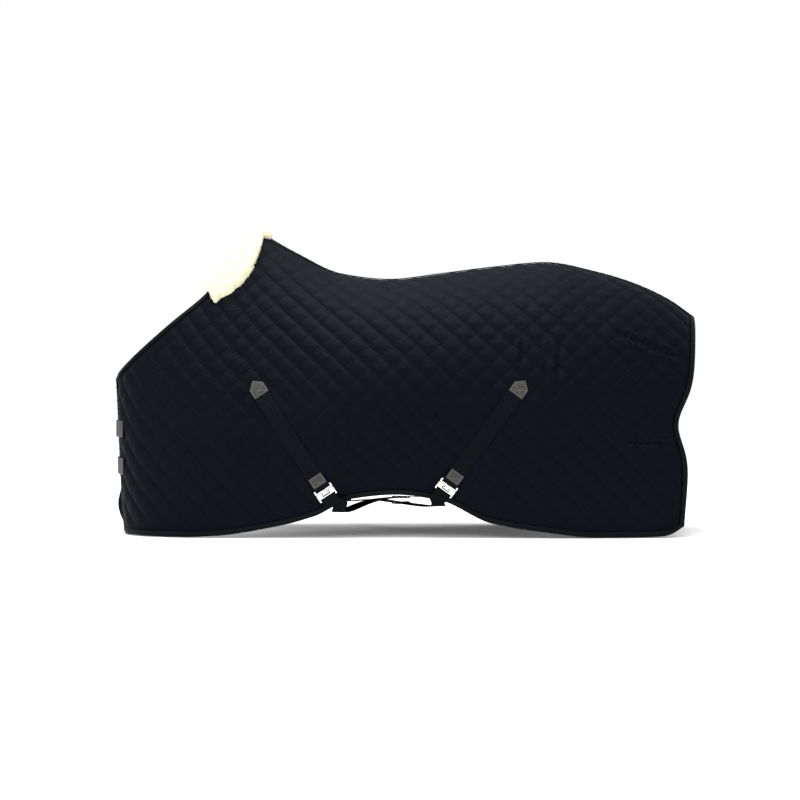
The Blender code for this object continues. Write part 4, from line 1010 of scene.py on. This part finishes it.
def makePatch(node, boxed=False):
    bm = weldedCopy(node, join=False)
    bmesh.ops.dissolve_limit(bm, angle_limit=radians(1.5), verts=bm.verts, edges=bm.edges)
    bm.normal_update()
    side = near if node.startswith("near") else off
    broad = sorted(bm.faces, key=lambda face: -face.calc_area())[:6]
    # the outer face, which may be several facets on a bent patch
    outer = [face for face in broad if face.normal.dot(Vector((0, side, 0))) > 0.1 or (face.normal.x < -0.75)]
    biggest = max(outer, key=lambda face: face.calc_area())
    outer = [face for face in outer if face.normal.dot(biggest.normal) > 0.9 and face.calc_area() > 0.00008]
    normal = sum((face.normal * face.calc_area() for face in outer), Vector()).normalized()
    rim = [edge for face in outer for edge in face.edges if sum(other in outer for other in edge.link_faces) == 1]
    # the outline in order
    chain, left = list(rim[0].verts), set(rim[1:])
    while left:
        following = [edge for edge in left if chain[-1] in edge.verts]
        if not following:
            break
        left.discard(following[0])
        chain.append(following[0].other_vert(chain[-1]))
    outline = [vert.co.copy() for vert in chain[:-1]]
    centre = sum(outline, Vector()) / len(outline)
    upward = Vector((0, 0, 1)) - normal * normal.z
    upward.normalize()
    sideways = upward.cross(normal)
    layer = bm.loops.layers.uv.new("cloth")
    for face in bm.faces:
        for loop in face.loops:
            place = loop.vert.co - centre
            loop[layer].uv = (place.dot(sideways), place.dot(upward))
    roundOff(bm, 50, patches["bevel"], 3)
    bmesh.ops.triangulate(bm, faces=[face for face in bm.faces if len(face.verts) > 4])
    piece = finishPiece(camel(node), bm, finish["patch"], node)
    splitEdges(piece, "edges", 35)
    # one row of stitches round it, in from the edge, and a cross where the webbing is sewn through
    inset = []
    for i, corner in enumerate(outline):
        before, after = outline[i - 1], outline[(i + 1) % len(outline)]
        a, b = (corner - before).normalized(), (after - corner).normalized()
        na, nb = [way if way.dot(centre - corner) >= 0 else -way for way in (normal.cross(a), normal.cross(b))]
        bisect = (na + nb).normalized()
        inset.append(corner + bisect * patches["inset"] / max(bisect.dot(na), 0.4))
    lift = normal * 0.0001
    ring = [point + lift for point in inset + inset[:1]]
    runs = [(ring, [normal] * len(ring))]
    if boxed and len(inset) >= 4:
        low = sorted(inset, key=lambda p: p.dot(upward))[:2]
        high = sorted((p for p in inset if p not in low), key=lambda p: p.dot(upward))
        tops = high[:2]
        low.sort(key=lambda p: p.dot(sideways))
        tops.sort(key=lambda p: p.dot(sideways))
        for a, b in ((low[0], tops[1]), (low[1], tops[0])):
            runs.append(([a.lerp(b, 0.08) + lift, b.lerp(a, 0.08) + lift], [normal, normal]))
    stitchPiece(camel(node) + "Stitches", runs, "greyThread",
                patches["stitch"], patches["length"], patches["radius"], bodyOf(node))


for node in ("near_front_patch", "near_rear_patch", "off_front_patch", "off_rear_patch",
             "near_front_tab", "near_rear_tab"):
    makePatch(node, boxed=True)
for node in ("near_upper_chest_patch", "near_lower_chest_patch", "off_upper_chest_patch", "off_lower_chest_patch"):
    makePatch(node)
print("patches sewn")


fittings = ["front_hook", "front_eye_plate", "rear_hook", "rear_eye_plate", "front_adjuster", "rear_adjuster",
            "upper_buckle_frame", "lower_buckle_frame", "upper_buckle_roller", "lower_buckle_roller",
            "upper_buckle_tongue", "lower_buckle_tongue"]
fittingBevel = 0.00032
for node in fittings:
    bm = weldedCopy(node, join=False)
    bmesh.ops.dissolve_limit(bm, angle_limit=radians(2), verts=bm.verts, edges=bm.edges)
    bm.normal_update()
    roundOff(bm, 35, fittingBevel, 2)
    bmesh.ops.triangulate(bm, faces=[face for face in bm.faces if len(face.verts) > 4])
    piece = finishPiece(camel(node), bm, finish["nickel"], node)
    splitEdges(piece, "edges", 32)
print("fittings made")


# Floor, light and camera

def makeFloor():
    bm = bmesh.new()
    bmesh.ops.create_grid(bm, x_segments=1, y_segments=1, size=30.0)
    for vert in bm.verts:
        vert.co.z = -0.0002
    mesh = bpy.data.meshes.new("floor")
    bm.to_mesh(mesh)
    bm.free()
    material, _, shader = startMaterial("studioFloor", 0.9)
    shader.inputs["Base Color"].default_value = linearColour("#ffffff")
    mesh.materials.append(material)
    floor = bpy.data.objects.new("floor", mesh)
    scene.collection.objects.link(floor)


def addLight(name, spot, aim, size, power):
    lamp = bpy.data.lights.new(name, "AREA")
    lamp.shape, lamp.size, lamp.size_y, lamp.energy = "RECTANGLE", size[0], size[1], power
    item = bpy.data.objects.new(name, lamp)
    item.location = spot
    item.rotation_euler = (Vector(aim) - Vector(spot)).to_track_quat("-Z", "Y").to_euler()
    scene.collection.objects.link(item)


makeFloor()
addLight("topSoft", (-0.2, -0.4, 3.2), (0, 0, 0.5), (3.0, 2.4), 210)
addLight("frontSoft", (-1.6, -4.2, 2.6), (0, 0, 0.4), (2.4, 1.6), 40)
addLight("lowSoft", (-3.4, -1.7, 0.5), (0.1, -0.3, 0.25), (0.9, 0.9), 26)
world = bpy.data.worlds.new("studio")
world.use_nodes = True
world.node_tree.nodes["Background"].inputs["Color"].default_value = (1, 1, 1, 1)
world.node_tree.nodes["Background"].inputs["Strength"].default_value = 1.0
scene.world = world
scene.view_settings.view_transform = "Standard"

lens = bpy.data.cameras.new("camera")
lens.lens, lens.sensor_width, lens.clip_end = 91.4, 36.0, 200.0
camera = bpy.data.objects.new("camera", lens)
camera.location = (-0.0142, -6.3, 0.5026)
camera.rotation_euler = (Vector((-0.0142, 0.0, 0.4066)) - camera.location).to_track_quat("-Z", "Y").to_euler()
scene.collection.objects.link(camera)
scene.camera = camera

print("scene set")
